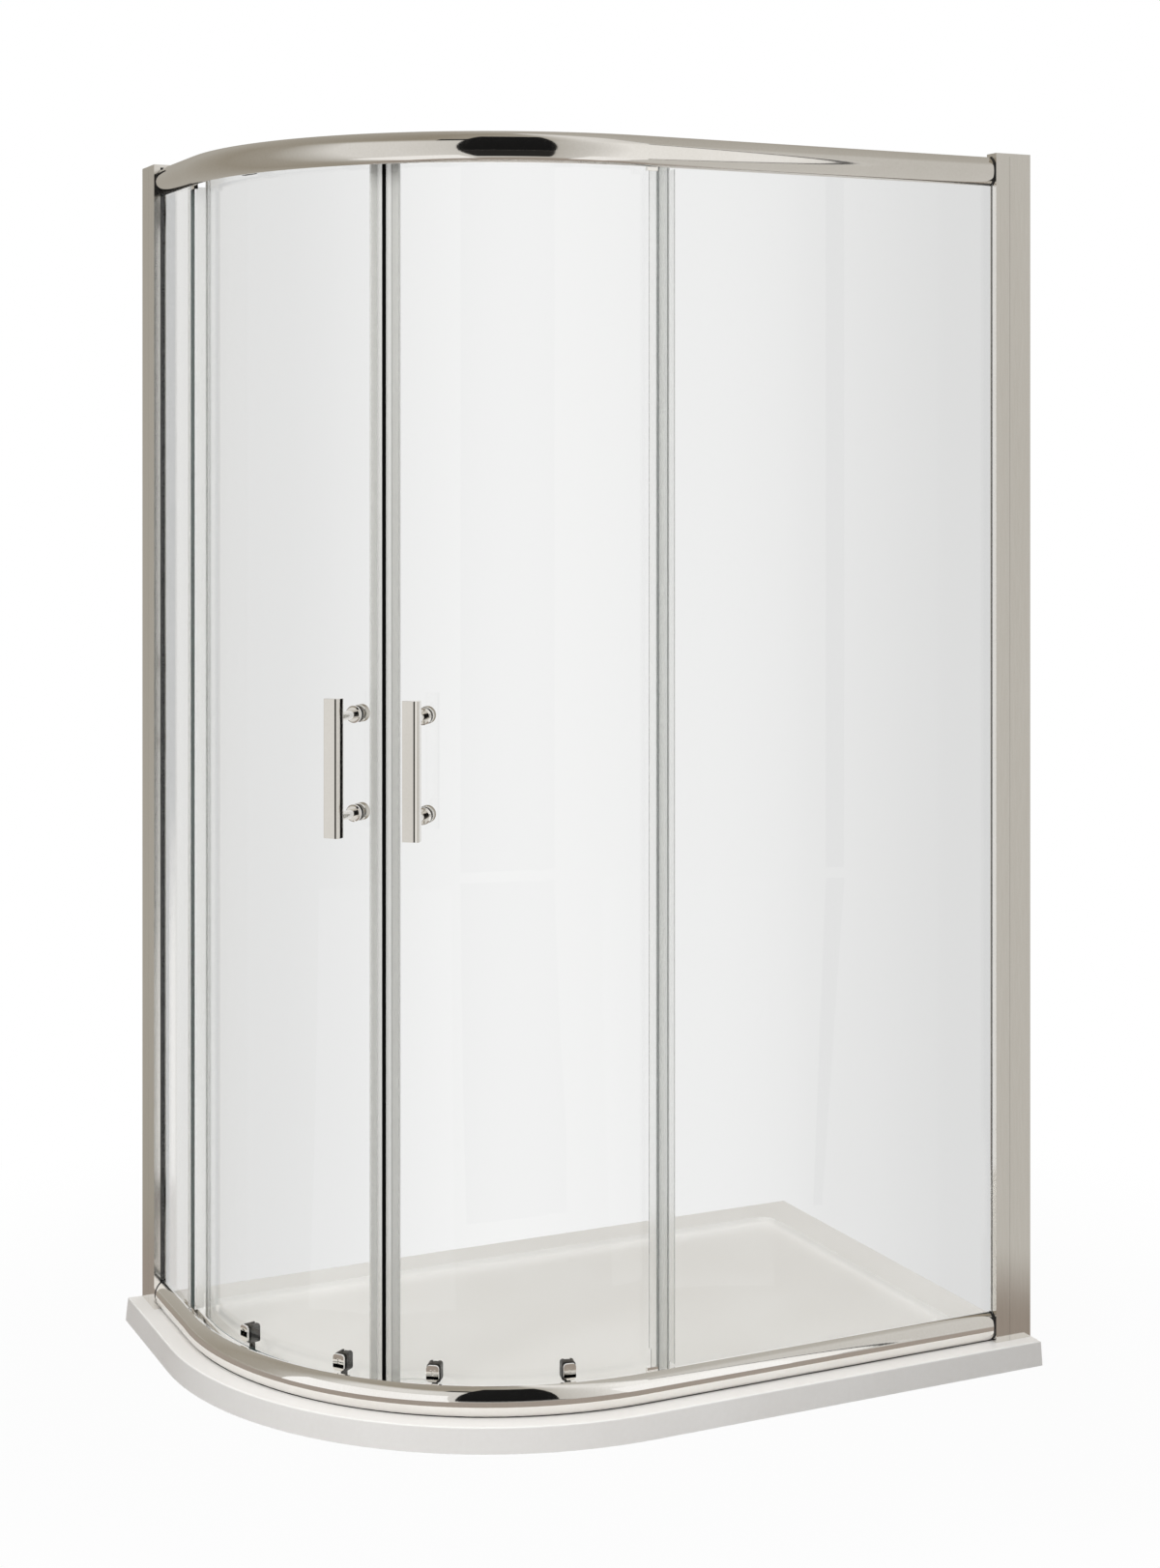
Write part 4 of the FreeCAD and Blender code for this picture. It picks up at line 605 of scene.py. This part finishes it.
def round_ramp(nodes, links, azimuth, stops):
    """Brightness by azimuth in degrees, tinted warm."""
    place = calculate(nodes, links, "MULTIPLY_ADD", azimuth, 1 / 360, 0.5)
    return colour_ramp(nodes, links, place, [((degrees + 180) / 360, warm_grey(grey))
                                             for degrees, grey in stops])


def blend_colours(nodes, links, amount, first, second):
    """A blend of two colours, each a tuple or another node's output."""
    node = nodes.new("ShaderNodeMix")
    node.data_type = "RGBA"
    links.new(amount, node.inputs["Factor"])
    for socket, entry in ((node.inputs[6], first), (node.inputs[7], second)):
        if isinstance(entry, tuple):
            socket.default_value = (*entry, 1)
        else:
            links.new(entry, socket)
    return node.outputs[2]


def reflected_room():
    """A warm, dim room with brighter stretches of wall, for reflections only."""
    made, nodes, links, glow = glowing("room_walls")
    place, apart = nodes.new("ShaderNodeTexCoord"), nodes.new("ShaderNodeSeparateXYZ")
    links.new(place.outputs["Object"], apart.inputs[0])
    x, y, z = (apart.outputs[axis] for axis in "XYZ")
    north = calculate(nodes, links, "MULTIPLY", y, -1.0)
    azimuth = calculate(nodes, links, "MULTIPLY",
                        calculate(nodes, links, "ARCTAN2", x, north), math.degrees(1))
    reach = calculate(nodes, links, "SQRT", calculate(
        nodes, links, "ADD", calculate(nodes, links, "MULTIPLY", x, x),
        calculate(nodes, links, "MULTIPLY", y, y)))
    rise = calculate(nodes, links, "MULTIPLY", calculate(
        nodes, links, "ARCTAN2", calculate(nodes, links, "SUBTRACT", z, ROOM_EYE), reach),
        math.degrees(1))
    roof = mapped(nodes, links, rise, CEILING_FROM, CEILING_TO, smooth=True)
    near = mapped(nodes, links, reach, NEAR_FROM, NEAR_TO, smooth=True)
    colour = blend_colours(nodes, links, roof, round_ramp(nodes, links, azimuth, WALLS),
                           round_ramp(nodes, links, azimuth, CEILING))
    low = calculate(nodes, links, "LESS_THAN", z, LOW_ENOUGH)
    links.new(blend_colours(nodes, links, calculate(nodes, links, "MULTIPLY", low, near),
                            colour, NEAR_FLOOR), glow.inputs["Color"])
    room = curved_panel("room", ROOM_RADIUS, (-180, 180), (WALL_FOOT, 90), ROOM_GRID)
    room.data.materials.append(made)
    floor = curved_floor("room_floor", FLOOR_FROM, ROOM_RADIUS, -180, 180, ROOM_FLOOR)
    floor.data.materials.append(made)


def flag(name, start, end, low, high, grey, floor_grey=None):
    """A dark board between two azimuths, and the dark floor in front of it."""
    board = curved_panel(name, ROOM_RADIUS - FLAG_FORWARD, (start, end), (low, high),
                         BOARD_GRID)
    board.data.materials.append(glowing(name, (grey, grey, grey))[0])
    if floor_grey is not None:
        name += "_floor"
        ring = curved_floor(name, FLAG_FLOOR_FROM, ROOM_RADIUS, start, end, FLAG_FLOOR)
        colour = tuple(floor_grey * part for part in FLAG_FLOOR_TINT)
        ring.data.materials.append(glowing(name, colour)[0])


def low_board(name, start, end):
    """A bright board that stands on the floor, close enough to show mostly in the bottom
    rail."""
    board = curved_panel(name, LOW_BOARD_RADIUS, (start, end), LOW_BOARD_RISES,
                         LOW_BOARD_GRID)
    board.data.materials.append(glowing(name, LOW_BOARD_COLOUR)[0])


def shade_card():
    """A dark card on the floor that takes soft light off the right end of the tray's side."""
    made, _, _, shader = material("dark_card")
    settings(shader, Base_Color=(*CARD_COLOUR, 1), Roughness=1.0)
    card = stage_sheet("shade_card", [(CARD_FROM, CARD_Y, 0.0), (CARD_TO, CARD_Y, 0.0),
                                      (CARD_TO, CARD_Y, CARD_HEIGHT),
                                      (CARD_FROM, CARD_Y, CARD_HEIGHT)], made)
    hide_from(card, "camera", "glossy", "transmission", "shadow")


def graded_backdrop():
    """Sheets where the two walls would be, that only show through the glass: white, greyer in
    two soft bands."""
    made, nodes, links, glow = glowing("backdrop_sheet")
    place, apart = nodes.new("ShaderNodeTexCoord"), nodes.new("ShaderNodeSeparateXYZ")
    links.new(place.outputs["Object"], apart.inputs[0])
    along = mapped(nodes, links, calculate(nodes, links, "SUBTRACT", apart.outputs["X"],
                                           apart.outputs["Y"]), -BACKDROP_SPAN, BACKDROP_SPAN)
    links.new(colour_ramp(nodes, links, along, [(position, (grey, grey, grey))
                                                for position, grey in BACKDROP], "EASE"),
              glow.inputs["Color"])
    corner = (BACKDROP_X, BACKDROP_Y)
    for name, start, end in (("back_wall", (BACKDROP_LEFT, BACKDROP_Y), corner),
                             ("side_wall", corner, (BACKDROP_X, BACKDROP_NEAR))):
        sheet = stage_sheet(name, [(*start, 0.0), (*end, 0.0), (*end, BACKDROP_TOP),
                                   (*start, BACKDROP_TOP)], made)
        hide_from(sheet, "camera", "diffuse", "shadow", "glossy", "volume_scatter")


def soft_lamp(name, place, aim, size, energy):
    """A square soft box that lights and isn't seen."""
    lamp = bpy.data.lights.new(name, "AREA")
    lamp.shape, lamp.size, lamp.energy = "SQUARE", size, energy
    obj = bpy.data.objects.new(name, lamp)
    bpy.context.scene.collection.objects.link(obj)
    obj.location = place
    obj.rotation_euler = (Vector(aim) - Vector(place)).to_track_quat("-Z", "Y").to_euler()
    hide_from(obj, "camera", "glossy", "transmission")


studio_floor()
studio_world()
graded_backdrop()
reflected_room()
flag("camera_side_flag", start=-39.5, end=-7.5, low=FLAG_FOOT, high=66.0, grey=0.010,
     floor_grey=0.025)
flag("board_edge", start=-50.0, end=-39.5, low=43.0, high=50.0, grey=0.03)
flag("board_gap", start=30.7, end=31.4, low=FLAG_FOOT, high=62.0, grey=0.02, floor_grey=0.05)
low_board("left_low_board", start=-88.0, end=-44.0)
low_board("right_low_board", start=5.0, end=27.0)
shade_card()
soft_lamp("key", place=(-2.2, -2.3, 3.4), aim=(0, 0, 0.2), size=2.2, energy=108.0)
soft_lamp("fill", place=(1.2, -3.2, 2.8), aim=(0.2, 0, 0.4), size=2.0, energy=10.0)

# ---------------------------------------------------------------- camera
camera = bpy.data.objects.new("camera", bpy.data.cameras.new("camera"))
bpy.context.scene.collection.objects.link(camera)
bpy.context.scene.camera = camera
camera.location = CAMERA_PLACE
camera.rotation_euler = (math.radians(90), 0, math.radians(CAMERA_TURN))
camera.data.sensor_fit = "AUTO"
camera.data.sensor_width = SENSOR
camera.data.lens = FOCAL * SENSOR / PHOTO_HEIGHT
camera.data.shift_x = -(CENTRE[0] - PHOTO_WIDTH / 2) / PHOTO_HEIGHT
camera.data.shift_y = -(PHOTO_HEIGHT / 2 - CENTRE[1]) / PHOTO_HEIGHT
camera.data.clip_end = 100

bpy.context.scene.view_settings.view_transform = "Standard"
